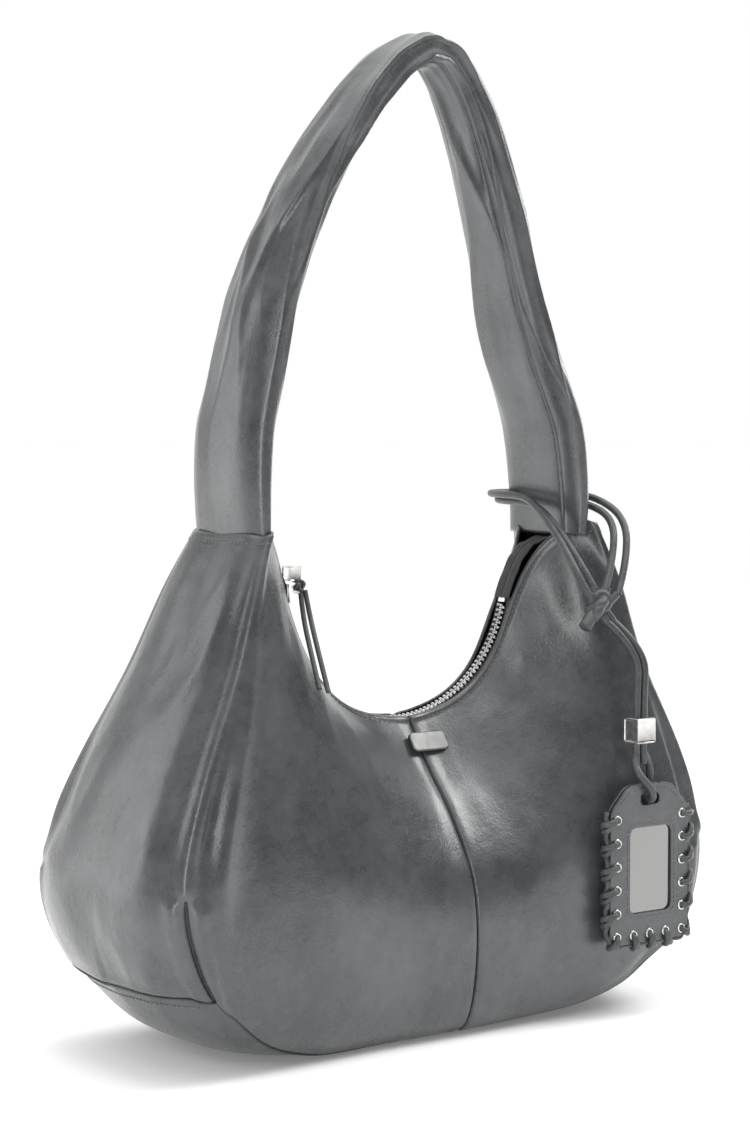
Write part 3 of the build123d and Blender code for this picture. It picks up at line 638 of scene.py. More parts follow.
def v_samples():
    t = list(np.linspace(0, 1, 97)) + [0.002, 0.004, 0.007, 0.0135, 0.017, 0.9965, 0.993, 0.986, 0.9755, 0.97, 0.965]
    return np.unique(np.round(np.array(t), 5))


US = u_samples()
VS = v_samples()
SURF = {}
for side, nm in ((-1, "leather_half_left"), (1, "leather_half_right")):
    P = half_surface(side, US, VS)
    N = normals(side, US, VS)
    D = relief(side, P, US, VS)
    O = P + N * D[..., None]
    I = O - N * 1.7
    for gq in (O, I):
        gq[0, :, 0] = gq[-1, :, 0] = side * 0.15
    O[..., 2] = np.maximum(O[..., 2], 0.3)
    I[..., 2] = np.maximum(I[..., 2], 0.9)
    SURF[side] = (O, N, P)
    o = sheet_mesh("bag_" + nm, O, I, M_BODY)
    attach(o, "bag")
    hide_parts(nm)


def surf_path(side, uv, lift=0.0):
    """points and normals on the finished leather along a list of (u, v)"""
    O, N, _ = SURF[side]
    pts, nrm = [], []
    for u, v in uv:
        i = np.interp(u, US, np.arange(len(US)))
        j = np.interp(v, VS, np.arange(len(VS)))
        i0, j0 = min(int(i), len(US) - 2), min(int(j), len(VS) - 2)
        a, b = i - i0, j - j0
        w = ((1 - a) * (1 - b), a * (1 - b), (1 - a) * b, a * b)
        ids = ((i0, j0), (i0 + 1, j0), (i0, j0 + 1), (i0 + 1, j0 + 1))
        p = sum(wk * O[k] for wk, k in zip(w, ids))
        n = sum(wk * N[k] for wk, k in zip(w, ids))
        n /= np.linalg.norm(n)
        pts.append(p + n * lift)
        nrm.append(n)
    return np.array(pts), np.array(nrm)


STITCHES = []
for side in (-1, 1):
    # along the mouth, about 5 mm below the rim, front and back
    for flip in (False, True):
        for off in (4.6,):
            uv = []
            for r in np.linspace(0.02, 4.15, 90):
                u = r / 18
                # step back from the rim by the wanted distance
                col = half_surface(side, [u], np.linspace(0.85, 1, 31))[0]
                s = np.concatenate([[0], np.cumsum(np.linalg.norm(np.diff(col[::-1], axis=0), axis=1))])
                v = 1 - np.interp(off, s, np.arange(31)) / 30 * 0.15
                uv.append(((1 - u) if flip else u, v))
            P, N = surf_path(side, uv)
            STITCHES += stitch_line(P, N, 3.6, 2.5)
    # top edge of the peak, all the way round
    for zz in (292.6,):
        uv = []
        for r in np.linspace(5.15, 12.85, 120):
            u = r / 18
            col = half_surface(side, [u], np.linspace(0.8, 1, 41))[0]
            v = 0.8 + 0.2 * np.interp(zz, col[:, 2], np.arange(41)) / 40
            uv.append((u, v))
        P, N = surf_path(side, uv)
        STITCHES += stitch_line(P, N, 3.4, 2.4)
# dark tubes: one along the base seam for the turned leather edge, and one in each dart groove as painted crease shade
for side, nm in ((-1, "left"), (1, "right")):
    lines = []
    us_ = np.linspace(0.6 / 18, 17.4 / 18, 260)
    lines.append(surf_path(side, [(u, 0.004) for u in us_], 1.7)[0])
    # darts: a dark tube laid in the bottom of each groove, painted shade of the crease
    for back in (False, True):
        uv = []
        for qq in np.linspace(0.05, 3.1, 60):
            u = (6.0 + 0.30 * math.sin(min(qq / 3.1, 1) * 1.75)) / 18
            uv.append(((1 - u) if back else u, qq / 8))
        lines.append(surf_path(side, uv, 0.7)[0])
    oe = join("seam_edges_and_dart_shade_" + nm, [tube("se", L, 0.75 if k == 0 else 0.55, M_EDGE_AND_DART_SHADE, sides=8) for k, L in enumerate(lines)])
    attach(oe, "bag")
o = capsule_set("stitching_mouth_and_peaks", STITCHES, 0.42, M_THREAD)
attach(o, "bag")

# ================================================================ base panel
ql, qr = quarter(-1)[:, 0], quarter(1)[:, 0]


def base_rows(T):
    def rows(q, side):
        end = np.array([q[6], q[7], q[8], q[9]] + [q[8] * [1, -1, 1], q[7] * [1, -1, 1], q[6] * [1, -1, 1]], float)
        ty = end[:, 1] / abs(end[0, 1])
        e = np.stack([np.interp(T, ty, end[:, 0]) - side * 0.7, np.array(T) * 76 * 0.995, np.interp(T, ty, end[:, 2]) - 0.2], 1)
        out = [e]
        for i, bulge, mid in ((5, 13, 17), (4, 5, 4.0), (3, 1, 0.05), (2, 0, 0.0), (1, 0, 0.0)):
            x, y, z = q[i][0], abs(q[i][1]) - 0.5, q[i][2] + 0.1
            out.append(np.array([(x + side * bulge * (1 - t * t), y * t, mid + (z - mid) * abs(t) ** 4) for t in T]))
        return out
    c = np.array([(0.0, 51.5 * t, 0.0 + 1.4 * abs(t) ** 4) for t in T])
    return np.array(rows(ql, -1) + [c] + rows(qr, 1)[::-1])


TB = np.linspace(-1, 1, 61)
rb = base_rows(TB)
BB = cubic(rb, np.linspace(0, 1, 141))
BB[..., 2] = np.maximum(BB[..., 2], 0.0)
edge = np.minimum(np.arange(141), 140 - np.arange(141))[:, None] * 2.8
edge2 = (1 - np.abs(TB))[None, :] * 60
dd = np.minimum(edge, edge2)
BB[..., 2] += 1.3 * g(dd, 1.6) * (BB[..., 2] < 200)
BT = BB.copy()
BT[..., 2] += 1.8
o = sheet_mesh("bag_base_panel", BB, BT, M_BODY)
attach(o, "bag")
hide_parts("base_panel")
# stitching on the base panel beside its end seams
seg = []
for k, nxt in ((2, 1), (138, -1)):
    P = BB[k, 4:-4]
    tang = BB[k + nxt, 4:-4] - P
    along = np.gradient(P, axis=0)
    N = np.cross(along, tang)
    N /= np.linalg.norm(N, axis=1, keepdims=True)
    N *= np.where(N[:, 2:3] > 0, -1, 1)
    seg += stitch_line(P, N, 3.4, 2.4, 0.1)
o = capsule_set("stitching_base", seg, 0.42, M_THREAD)
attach(o, "bag")

# ================================================================ lining and facings
for side, nm in ((-1, "left"), (1, "right")):
    u = np.linspace(0, 1, 73)
    v = np.linspace(0.07, 0.90, 30)
    P, N = half_surface(side, u, v), normals(side, u, v)
    wob = np.array([[noise.noise(Vector(p * 0.03)) for p in row] for row in P])[..., None] * 0.8
    A = P - N * (4.6 + wob)
    A[0, :, 0] = A[-1, :, 0] = side * 0.2
    o = sheet_mesh("lining_" + nm, A, A - N * 0.5, M_LINING)
    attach(o, "bag")
    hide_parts("lining")
xs, ys = np.linspace(-106, 94, 60), np.linspace(-47, 47, 30)
A = np.array([[(x, y, 8.2 + 0.5 * noise.noise(Vector((x * 0.06, y * 0.06, 0)))) for y in ys] for x in xs])
o = sheet_mesh("lining_floor", A, A - [0, 0, 0.6], M_LINING)
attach(o, "bag")
for back, nm in ((False, "front"), (True, "rear")):
    r = np.linspace(4.4 / 18, 0, 40)
    v = np.linspace(0.872, 0.972, 8)
    L = half_surface(-1, r, v) - normals(-1, r, v) * 2.4
    R = half_surface(1, r[::-1], v) - normals(1, r[::-1], v) * 2.4
    NL, NR = normals(-1, r, v), normals(1, r[::-1], v)
    A = np.concatenate([L, R[1:]])
    NN = np.concatenate([NL, NR[1:]])
    B = A - NN * 0.9
    if back:
        A, B = A * [1, -1, 1], B * [1, -1, 1]
    o = sheet_mesh("mouth_facing_piece_" + nm, A, B, M_FACING)
    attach(o, "bag")
    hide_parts("mouth_facing_" + nm)

# ================================================================ zip
def arc_pt(r, phi, y):
    a = math.radians(phi)
    return np.array([ZIP_CX + r * math.sin(a), y, ZIP_CZ - r * math.cos(a)])


for s, nm in ((-1, "front"), (1, "rear")):
    phis = np.linspace(-89, 80, 200)
    ys = np.linspace(3.1, 6.6, 6)
    A = np.array([[arc_pt(85.0 + 0.25 * math.sin(y * 2.0) + 0.08 * math.sin(ph * 3.1), ph, s * y) for y in ys] for ph in phis])
    B = np.array([[arc_pt(85.7, ph, s * y) for y in ys] for ph in phis])
    o = sheet_mesh("zip_tape_strip_" + nm, A, B, M_ZIPCLOTH)
    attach(o, "bag")
    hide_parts("zip_tape_" + nm)
    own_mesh(o)
    # teeth: a stem that grips the tape, a waist and a rounded head
    STEP = math.degrees(3.2 / ZIP_R)
    V, F = [], []
    shift = 0.0 if s < 0 else 0.5
    prof = [(3.7, 0.62, 1.9), (3.2, 0.78, 2.3), (2.2, 0.80, 2.35), (1.3, 0.50, 1.9), (0.5, 0.50, 1.8), (-0.1, 0.78, 2.1), (-0.7, 0.70, 1.9), (-1.0, 0.35, 1.2)]
    for k in range(71):
        ph = -80.6 + (k + 0.5 + shift) * STEP
        base = len(V)
        for y, hw, hh in prof:
            for (sx, sr) in ((-1, -1), (-0.6, -1.12), (0.6, -1.12), (1, -1), (1, 1), (0.6, 1.12), (-0.6, 1.12), (-1, 1)):
                V.append(arc_pt(85.2 + sr * hh * 0.9, ph + math.degrees(sx * hw / 85), s * y))
        m = 8
        for i in range(len(prof) - 1):
            for j in range(m):
                F.append((base + i * m + j, base + i * m + (j + 1) % m, base + (i + 1) * m + (j + 1) % m, base + (i + 1) * m + j))
        F.append(tuple(base + j for j in range(m)))
        F.append(tuple(base + (len(prof) - 1) * m + j for j in range(m)))
    o = fix_normals(mesh_obj("zip_teeth_row_" + nm, V, F, M_TEETH))
    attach(o, "bag")
    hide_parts("zip_teeth_" + nm)
    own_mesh(o)

for s, nm in ((-1, "front"), (1, "rear")):
    for side, path in ((1, [(77.6, 252.0), (81.5, 262.0), (86.0, 271.0), (91.0, 278.5), (97.0, 283.5), (104.0, 286.5), (112.0, 288.0)]),
                       (-1, [(-87.2, 264.0), (-89.5, 270.0), (-93.0, 276.5), (-98.5, 282.0), (-106.0, 286.0), (-113.0, 288.0)])):
        ctr = curve_line([(x, 0, z) for x, z in path], 10)
        ys = np.linspace(0.15, 7.2, 7)
        A = np.array([[(p[0], s * y, p[2] + 0.5 * math.sin(i * 0.35) * (y / 7)) for y in ys] for i, p in enumerate(ctr)])
        tail = sheet_mesh("zip_tape_tail_" + nm + ("_right" if side > 0 else "_left"), A, A - [0, 0, 0.7], M_ZIPCLOTH)
        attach(tail, "bag")

for n in ("zip_end_stops", "zip_slider", "zip_pull_ring", "plaque_washer"):
    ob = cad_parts[n]
    ob.data.materials.clear()
    ob.data.materials.append(M_METAL)
for n, m in (("base_board", M_BOARD), ("strap_padding", M_WAD), ("charm_mirror", M_MIRROR)):
    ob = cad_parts[n]
    ob.data.materials.clear()
    ob.data.materials.append(m)


def rounded_block(name, centre, size, bevel, mat, insets=True, hole=None):
    bm = bmesh.new()
    bmesh.ops.create_cube(bm, size=1.0)
    for v in bm.verts:
        v.co = Vector((v.co.x * size[0], v.co.y * size[1], v.co.z * size[2]))
    if insets:
        faces = [f for f in bm.faces if abs(f.normal.z) < 0.5]
        r = bmesh.ops.inset_individual(bm, faces=faces, thickness=min(size) * 0.12, depth=0)
        for f in faces:
            bmesh.ops.translate(bm, verts=f.verts[:], vec=-f.normal * min(size) * 0.075)
    me = bpy.data.meshes.new(name)
    bm.to_mesh(me)
    bm.free()
    me.transform(Matrix.Translation(Vector(centre)))
    me.transform(Matrix.Scale(MM, 4))
    me.materials.append(mat)
    o = bpy.data.objects.new(name, me)
    bpy.context.scene.collection.objects.link(o)
    b = o.modifiers.new("b", "BEVEL")
    b.width = bevel * MM
    b.segments = 3
    b.limit_method = "ANGLE"
    apply_mods(o)
    return o


def overhand(name, centre, size, r, mat, seed=0, scale=(1, 1, 1), rot=0.0):
    """a tied knot: a strand wound three times over itself"""
    t = np.linspace(0, 2 * math.pi, 150, endpoint=False)
    x = np.sin(t) + 2 * np.sin(2 * t)
    y = np.cos(t) - 2 * np.cos(2 * t)
    z = -np.sin(3 * t)
    P = np.stack([x * scale[0] / 3, y * scale[1] / 3, z * 0.42 * scale[2]], 1) * size
    c, s_ = math.cos(rot), math.sin(rot)
    P = np.stack([P[:, 0] * c - P[:, 1] * s_, P[:, 2], P[:, 0] * s_ + P[:, 1] * c], 1)
    return tube(name, P + np.array(centre), r, mat, sides=12, closed=True)


o = rounded_block("zip_pull_bead_cube", (-79.2, 0, 272.2), (8.4, 8.4, 8.4), 0.5, M_METAL)
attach(o, "zip_pull")
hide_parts("zip_pull_bead")
o = join("zip_pull_knot_tied", [overhand("k1", (-78.5, -7.2, 264.8), 3.1, 1.25, M_THONG, rot=0.6),
                                tube("k2", [(-78.8, -1.5, 268.2), (-78.6, -4.5, 267.6), (-78.5, -7.2, 265.6)], 1.35, M_THONG)])
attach(o, "zip_pull")
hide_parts("zip_pull_knot")

# ================================================================ strap
ARCH = [(-118.5, 359), (-110.5, 388), (-99.5, 430), (-86.5, 462), (-71.5, 492), (-53, 521), (-31.5, 549),
        (-10, 571), (10, 582.5), (26, 579.5), (39, 564), (49.5, 543), (59, 517), (68, 488), (76.5, 458),
        (84, 430), (93.5, 399), (109, 359)]
HALF_Y = [36.5, 34, 31, 29, 27, 25, 23.5, 22, 21, 21, 22, 23.5, 25, 27, 29, 31, 33.5, 36.5]
HALF_X = [11, 12, 12.5, 12.5, 12, 11.5, 11, 10.5, 10.5, 10.5, 11, 11.5, 12, 12.5, 12.5, 12.5, 12, 11]
CL = [(-119.5, 290), (-120.0, 306), (-120.3, 324), (-119.8, 342)] + ARCH + [(112.3, 342), (114.2, 324), (115.0, 306), (114.5, 290)]
HY = [35.5, 36.0, 36.3, 36.5] + HALF_Y + [36.5, 36.3, 36.0, 35.5]
HX = [7.5, 9.0, 10.2, 10.8] + HALF_X + [10.8, 10.2, 9.0, 7.5]
Cs = np.array([(x, 0.0, z) for x, z in CL], float)
sl = np.concatenate([[0], np.cumsum(np.linalg.norm(np.diff(Cs, axis=0), axis=1))])
tt = np.linspace(0, 1, 361)


def along(vals, t):
    vals = np.asarray(vals, float)
    if vals.ndim == 1:
        vals = vals[:, None]
    # chord-length smooth interpolation: resample finely, then a light moving average
    base = np.stack([np.interp(t * sl[-1], sl, vals[:, k]) for k in range(vals.shape[1])], 1)
    for _ in range(12):
        base[1:-1] = (base[:-2] + 2 * base[1:-1] + base[2:]) / 4
    return base


C = along(Cs, tt)
hy = along(HY, tt)[:, 0]
hx = along(HX, tt)[:, 0]
T = np.gradient(C, axis=0)
T /= np.linalg.norm(T, axis=1, keepdims=True)
Yd = np.array([0, 1.0, 0])
Nx = np.cross(Yd, T)          # points away from the arm opening or into it; fixed by sign below
Nx /= np.linalg.norm(Nx, axis=1, keepdims=True)
centre_ref = np.array([0, 0, 400.0])
sgn = np.sign(((C - centre_ref) * Nx).sum(1))
Nx = Nx * (1 if sgn.sum() > 0 else -1)
NS = 132
# crests: angle round the sleeve, how far they wander, phase, height, width
CRESTS = [(0.5, 0.30, 0.2, 2.4, 0.20), (1.35, 0.35, 1.9, 2.6, 0.22), (2.15, 0.30, 3.3, 2.2, 0.18),
          (2.95, 0.25, 0.9, 3.0, 0.20), (3.62, 0.22, 2.6, 2.6, 0.17), (4.55, 0.30, 4.2, 2.2, 0.20), (5.4, 0.35, 5.3, 2.4, 0.22)]
SV = []
L_tot = sl[-1]
S_PINCH = float(np.interp(19.0, C[150:230, 0], tt[150:230])) * L_tot
for i, t in enumerate(tt):
    s = t * L_tot
    row = []
    # how gathered the sleeve is here: little at the feet, more higher up
    gather = 0.12 + 0.88 * float(sm(min(s, L_tot - s), 45, 150))
    pinch = math.exp(-abs((s - S_PINCH) / 6.0) ** 1.4)
    for k in range(NS):
        a = 2 * math.pi * k / NS
        # a = 0 towards +Y (rear), pi/2 outside, pi towards -Y (front)
        ca, sa = math.cos(a), math.sin(a)
        # soft oval, a little boxier than an ellipse
        e = 2.35
        cy = math.copysign(abs(ca) ** (2 / e), ca)
        cx = math.copysign(abs(sa) ** (2 / e), sa)
        y = hy[i] * cy
        x = hx[i] * cx
        # lengthwise folds that drift round the sleeve, with crests along them
        f = 0.0
        for cr, drift, ph, h, w in CRESTS:
            ac = cr + drift * math.sin(s * 0.0125 + ph) + 0.25 * math.sin(s * 0.031 + 2 * ph)
            da = (a - ac + math.pi) % (2 * math.pi) - math.pi
            on = 0.5 + 0.5 * math.sin(s * 0.019 + ph * 3.1)
            f += 1.35 * h * (0.3 + 0.7 * on) * math.exp(-abs(da / (0.88 * w)) ** 1.3) * gather
        n3 = noise.noise(Vector((ca * 1.1 + 3.0, sa * 1.1, s * 0.017 + 4.0)))
        n4 = noise.noise(Vector((ca * 2.3 + 1.0, sa * 2.3, s * 0.012 + 9.0)))
        f += 2.8 * n3 * (0.2 + gather * 0.8) + 1.5 * (0.3 - abs(n4)) * gather - 1.4 * gather
        # seam groove on the side facing the opening, towards the front
        d_seam = ((a - 4.05 + math.pi) % (2 * math.pi) - math.pi) * 20
        f -= 1.5 * math.exp(-(d_seam / 0.9) ** 2)
        f += 0.5 * math.exp(-((d_seam - 4) / 3.0) ** 2)
        # the fold across the top
        f -= pinch * 3.2 * (0.5 + 0.5 * sa) + 0.8 * pinch
        rr = math.hypot(y, x) + 1e-6
        f = max(f, -2.6 + 0.25 * (f + 2.6)) if f < -2.6 else f
        q = 1 + f / max(rr, 7.0)
        row.append(C[i] + Yd * (y * q) + Nx[i] * (x * q))
    SV.append(row)
SV = np.array(SV)
V = SV.reshape(-1, 3)
F = []
for i in range(len(tt) - 1):
    for k in range(NS):
        k2 = (k + 1) % NS
        F.append((i * NS + k, i * NS + k2, (i + 1) * NS + k2, (i + 1) * NS + k))
F.append(tuple(range(NS))[::-1])
F.append(tuple((len(tt) - 1) * NS + k for k in range(NS)))
half = len(tt) // 2
# the sleeve is one mesh from foot to foot, with the fold across the top
o = fix_normals(mesh_obj("strap_sleeve", V, F, M_BODY))
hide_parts("strap", "strap_fold_left", "strap_fold_right", "strap_root_left", "strap_root_right")
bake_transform(o)
# ================================================================ plaque (plain, generic)
lo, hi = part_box("front_plaque")
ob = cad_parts["front_plaque"]
ob.data.materials.clear()
ob.data.materials.append(M_DARKMETAL)

# ================================================================ charm
KN = (99.5, -57.5, 249.0)


def wrap(c, r_ring, r_cord, axis, squeeze=1.0, a0=0.0, a1=2 * math.pi, lift=0.0):
    """one turn of cord round an axis, like the body of a tied knot"""
    ax = Vector(axis).normalized()
    u = ax.orthogonal().normalized()
    v = ax.cross(u)
    t = np.linspace(a0, a1, 46)
    P = [Vector(c) + (u * math.cos(x) + v * math.sin(x) * squeeze) * r_ring + ax * lift * math.sin(x * 0.5) for x in t]
    full = abs(a1 - a0 - 2 * math.pi) < 1e-6
    P = np.array([p[:] for p in (P[:-1] if full else P)])
    return tube("w", P, r_cord, M_THONG, sides=14, closed=full)


kp = []
kp.append(wrap((98.5, -65.5, 249.5), 5.0, 3.7, (0.55, -0.25, -0.8), 0.92))
kp.append(wrap((96.0, -66.8, 245.5), 4.6, 3.5, (0.75, -0.35, -0.55), 0.95))
kp.append(wrap((101.8, -65.0, 251.5), 5.0, 3.4, (-0.25, -0.9, 0.35), 0.85))
kp.append(tube("w", curve_line([(100.0, -61.5, 260), (98.5, -62.5, 254), (96.0, -63.8, 249)]), 3.0, M_THONG, sides=14))
kp.append(tube("w", curve_line([(108.0, -63.0, 259.5), (104.5, -64.0, 254), (99.0, -64.8, 249)]), 3.0, M_THONG, sides=14))
kp.append(tube("w", curve_line([(93.0, -65.5, 256.5), (94.5, -66.0, 252), (97.0, -66.0, 247)]), 2.6, M_THONG, sides=14))
kp.append(tube("w", curve_line([(112.0, -68.2, 256.0), (108.0, -68.0, 252), (102.5, -66.5, 248)]), 2.6, M_THONG, sides=14))
kp.append(tube("w", curve_line([(96.0, -67.0, 246.5), (91.0, -69.0, 243.0), (85.3, -70.0, 237.0)]), 4.0, M_THONG, sides=16))
kp.append(tube("w", curve_line([(99.5, -63.5, 247), (102.0, -66.5, 243.0), (105.2, -66.8, 239.4)]), 2.6, M_THONG, sides=14))
kp.append(tube("w", curve_line([(103.0, -63.0, 249), (108.0, -65.5, 243.5), (111.0, -65.7, 239.4)]), 2.6, M_THONG, sides=14))
o = join("charm_knot_tied", kp)
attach(o, "bag")
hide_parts("charm_knot")

# bead: plain square bead with recessed panels
o = rounded_block("charm_bead_cube", (119, -82, 174), (15, 13, 15), 0.7, M_METAL)
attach(o, "charm_bead")
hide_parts("charm_bead")
# loop under the bead through the tag's slot
o = tube("charm_tag_loop_thong", curve_line([(116.2, -82, 160), (113.2, -83.5, 155), (112.6, -88.5, 148), (117.5, -93.0, 141), (120.5, -93.0, 135.5),
                                             (121.5, -90.5, 132.6), (121.8, -84.0, 131.8), (124.5, -80.6, 136), (129.2, -80.6, 145), (127.2, -81.2, 154), (121.8, -82, 160)], 20), 2.3, M_THONG, sides=14)
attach(o, "charm_drop")
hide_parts("charm_tag_loop")

TAG_W, TAG_H, TAG_X, TAG_Z, TAG_Y = 62.0, 96.0, 121.0, 94.0, -89.5
SLOT_Z = TAG_Z + TAG_H / 2 - 9
EX, EZ0, EZ1 = TAG_W / 2 - 5.2, TAG_Z - TAG_H / 2 + 5.2, TAG_Z + 28
EYES = []
for k in range(6):
    z = EZ0 + (EZ1 - EZ0) * k / 5
    EYES += [(TAG_X - EX, z), (TAG_X + EX, z)]
for k in range(1, 4):
    EYES.append((TAG_X - EX + 2 * EX * k / 4, EZ0))


def flat_piece(name, outlines, y_front, thick, mat, bevel=0.35):
    """2D curve with holes, extruded; the plane is X-Z"""
    cu = bpy.data.curves.new(name, "CURVE")
    cu.dimensions = "2D"
    cu.fill_mode = "BOTH"
    cu.extrude = (thick / 2 - bevel) * MM
    cu.bevel_depth = bevel * MM
    cu.bevel_resolution = 3
    cu.offset = -bevel * MM
    for pts in outlines:
        sp = cu.splines.new("POLY")
        sp.points.add(len(pts) - 1)
        for i, p in enumerate(pts):
            sp.points[i].co = (p[0] * MM, p[1] * MM, 0, 1)
        sp.use_cyclic_u = True
    o = bpy.data.objects.new(name, cu)
    bpy.context.scene.collection.objects.link(o)
    o.matrix_world = Matrix.Translation((0, (y_front + thick / 2) * MM, 0)) @ Matrix.Rotation(math.pi / 2, 4, "X")
    dg = bpy.context.evaluated_depsgraph_get()
    me = bpy.data.meshes.new_from_object(o.evaluated_get(dg))
    me.transform(o.matrix_world)
    bpy.data.objects.remove(o)
    me.materials.clear()
    me.materials.append(mat)
    r = bpy.data.objects.new(name, me)
    bpy.context.scene.collection.objects.link(r)
    me.polygons.foreach_set("use_smooth", [False] * len(me.polygons))
    return r


def round_poly(pts, r, n=6):
    """corner-rounded closed polygon"""
    out = []
    m = len(pts)
    for i in range(m):
        a, b, c = np.array(pts[i - 1]), np.array(pts[i]), np.array(pts[(i + 1) % m])
        u, v = (a - b) / np.linalg.norm(a - b), (c - b) / np.linalg.norm(c - b)
        k = min(r, 0.45 * np.linalg.norm(a - b), 0.45 * np.linalg.norm(c - b))
        for t in np.linspace(0, 1, n):
            p = (1 - t) ** 2 * (b + u * k) + 2 * t * (1 - t) * b + t * t * (b + v * k)
            out.append(tuple(p))
    return out


def circ(x, z, r, n=24):
    return [(x + r * math.cos(2 * math.pi * k / n), z + r * math.sin(2 * math.pi * k / n)) for k in range(n)]


tw, th = TAG_W / 2, TAG_H / 2
OUT = round_poly([(TAG_X - tw, TAG_Z - th + 4), (TAG_X - tw + 4, TAG_Z - th), (TAG_X + tw - 4, TAG_Z - th), (TAG_X + tw, TAG_Z - th + 4),
                  (TAG_X + tw, TAG_Z + th - 15), (TAG_X + tw - 14, TAG_Z + th), (TAG_X - tw + 14, TAG_Z + th), (TAG_X - tw, TAG_Z + th - 15)], 5)
wx, wz, ww, wh = TAG_X + 1, TAG_Z - 4, 16.5, 26
WIN = round_poly([(wx - ww, wz - wh), (wx + ww, wz - wh), (wx + ww, wz + wh), (wx - ww, wz + wh)], 5)
SLOT = round_poly([(TAG_X - 7.5, SLOT_Z - 3.5), (TAG_X + 7.5, SLOT_Z - 3.5), (TAG_X + 7.5, SLOT_Z + 3.5), (TAG_X - 7.5, SLOT_Z + 3.5)], 3.4)
holes = [circ(x, z, 2.25, 16) for x, z in EYES]
front = flat_piece("charm_tag_front_leather", [OUT, WIN, SLOT] + holes, TAG_Y, 1.6, M_BODY)
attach(front, "charm_tag")
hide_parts("charm_tag_front")
back = flat_piece("charm_tag_back_leather", [OUT, SLOT] + holes, TAG_Y + 3.0, 1.6, M_BODY)
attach(back, "charm_tag")
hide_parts("charm_tag_back")
# eyelets: rolled flange on the front and a barrel through to the back
pieces_e = []
for x, z in EYES:
    for yy, sy in ((TAG_Y - 0.1, -1),):
        t = np.linspace(0, 2 * math.pi, 28, endpoint=False)
        pieces_e.append(tube("e", np.stack([x + 2.35 * np.cos(t), np.full(28, yy - 0.05), z + 2.35 * np.sin(t)], 1), 0.72, M_METAL, sides=8, closed=True, flat=1.0))
    ring = []
    V, F = [], []
    for yy in (TAG_Y - 0.2, TAG_Y + 4.6):
        for k in range(20):
            a = 2 * math.pi * k / 20
            V.append((x + 1.85 * math.cos(a), yy, z + 1.85 * math.sin(a)))
    for k in range(20):
        F.append((k, (k + 1) % 20, 20 + (k + 1) % 20, 20 + k))
    pieces_e.append(mesh_obj("b", V, F, M_METAL))
o = join("charm_eyelet_rings", pieces_e)
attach(o, "charm_tag")
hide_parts("charm_eyelets")
# whip lacing through the eyelets and over the edge: two strands side by side
order = [(TAG_X - EX, z, -1, 0) for z in sorted({z for x, z in EYES if abs(x - (TAG_X - EX)) < 0.1}, reverse=True)]
order += [(x, EZ0, 0, -1) for x in sorted({x for x, z in EYES if abs(z - EZ0) < 0.1 and abs(abs(x - TAG_X) - EX) > 0.1})]
order += [(TAG_X + EX, z, 1, 0) for z in sorted({z for x, z in EYES if abs(x - (TAG_X + EX)) < 0.1})]
YM = TAG_Y + 2.3


def whip(share, out_to, lean):
    lace = []
    for k, (x, z, ox, oz) in enumerate(order):
        corner = (k in (5, 9))
        if corner:
            ox, oz = (-0.72 if k == 5 else 0.72), -0.72
        nx = order[k + 1] if k + 1 < len(order) else None
        mid = (x, z) if nx is None else ((x + nx[0]) / 2, (z + nx[1]) / 2)
        lace.append((x, YM - 3.0, z))
        lace.append((x + ox * 3.8, YM - 4.8 - lean, z + oz * 3.8))
        ex_ = (x * (1 - share) + mid[0] * share) + ox * out_to
        ez_ = (z * (1 - share) + mid[1] * share) + oz * out_to
        lace.append((ex_, YM - 2.0, ez_))
        lace.append((ex_, YM + 1.8, ez_))
        if nx is not None:
            lace.append(((mid[0] + nx[0]) / 2 + ox * 3.2, YM + 3.6, (mid[1] + nx[1]) / 2 + oz * 3.2))
            lace.append((nx[0], YM + 3.0, nx[1]))
    return resample(curve_line(lace, 12), 0.8)


parts_l = [tube("lace1", whip(0.30, 8.8, 0.0), 1.85, M_THONG, sides=10), tube("lace3", whip(0.85, 8.3, 0.5), 1.75, M_THONG, sides=10)]
# second strand runs along the edge under the whip turns
edge_path = [(TAG_X - tw - 1.2, YM, TAG_Z + 33)] + [(TAG_X - tw - 1.2, YM, TAG_Z - th + 6), (TAG_X - tw + 3, YM, TAG_Z - th - 0.8),
             (TAG_X + tw - 3, YM, TAG_Z - th - 0.8), (TAG_X + tw + 1.2, YM, TAG_Z - th + 6), (TAG_X + tw + 1.2, YM, TAG_Z + 33)]
pl = resample(np.array(edge_path), 2.0)
pl[:, 1] += 0.9 * np.sin(np.arange(len(pl)) * 1.1)
parts_l.append(tube("lace2", pl, 1.7, M_THONG, sides=10))
o = join("charm_lacing_thong", parts_l)
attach(o, "charm_tag")
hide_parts("charm_lacing")
# stitching: tag top edge and round the window
seg = []
P = resample(np.array([(x, TAG_Y, z) for x, z in
     [(TAG_X - tw + 3, TAG_Z + 33), (TAG_X - tw + 16, TAG_Z + th - 3), (TAG_X + tw - 16, TAG_Z + th - 3), (TAG_X + tw - 3, TAG_Z + 33)]]), 1.0)
seg += stitch_line(P, np.tile([0, -1.0, 0], (len(P), 1)), 2.9, 2.1, 0.1)
W2 = round_poly([(wx - ww - 2.2, wz - wh - 2.2), (wx + ww + 2.2, wz - wh - 2.2), (wx + ww + 2.2, wz + wh + 2.2), (wx - ww - 2.2, wz + wh + 2.2)], 6)
P = resample(np.array([(x, TAG_Y, z) for x, z in W2 + W2[:1]]), 1.0)
seg += stitch_line(P, np.tile([0, -1.0, 0], (len(P), 1)), 2.9, 2.1, 0.1)
o = capsule_set("stitching_tag", seg, 0.33, M_THREAD)
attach(o, "charm_tag")

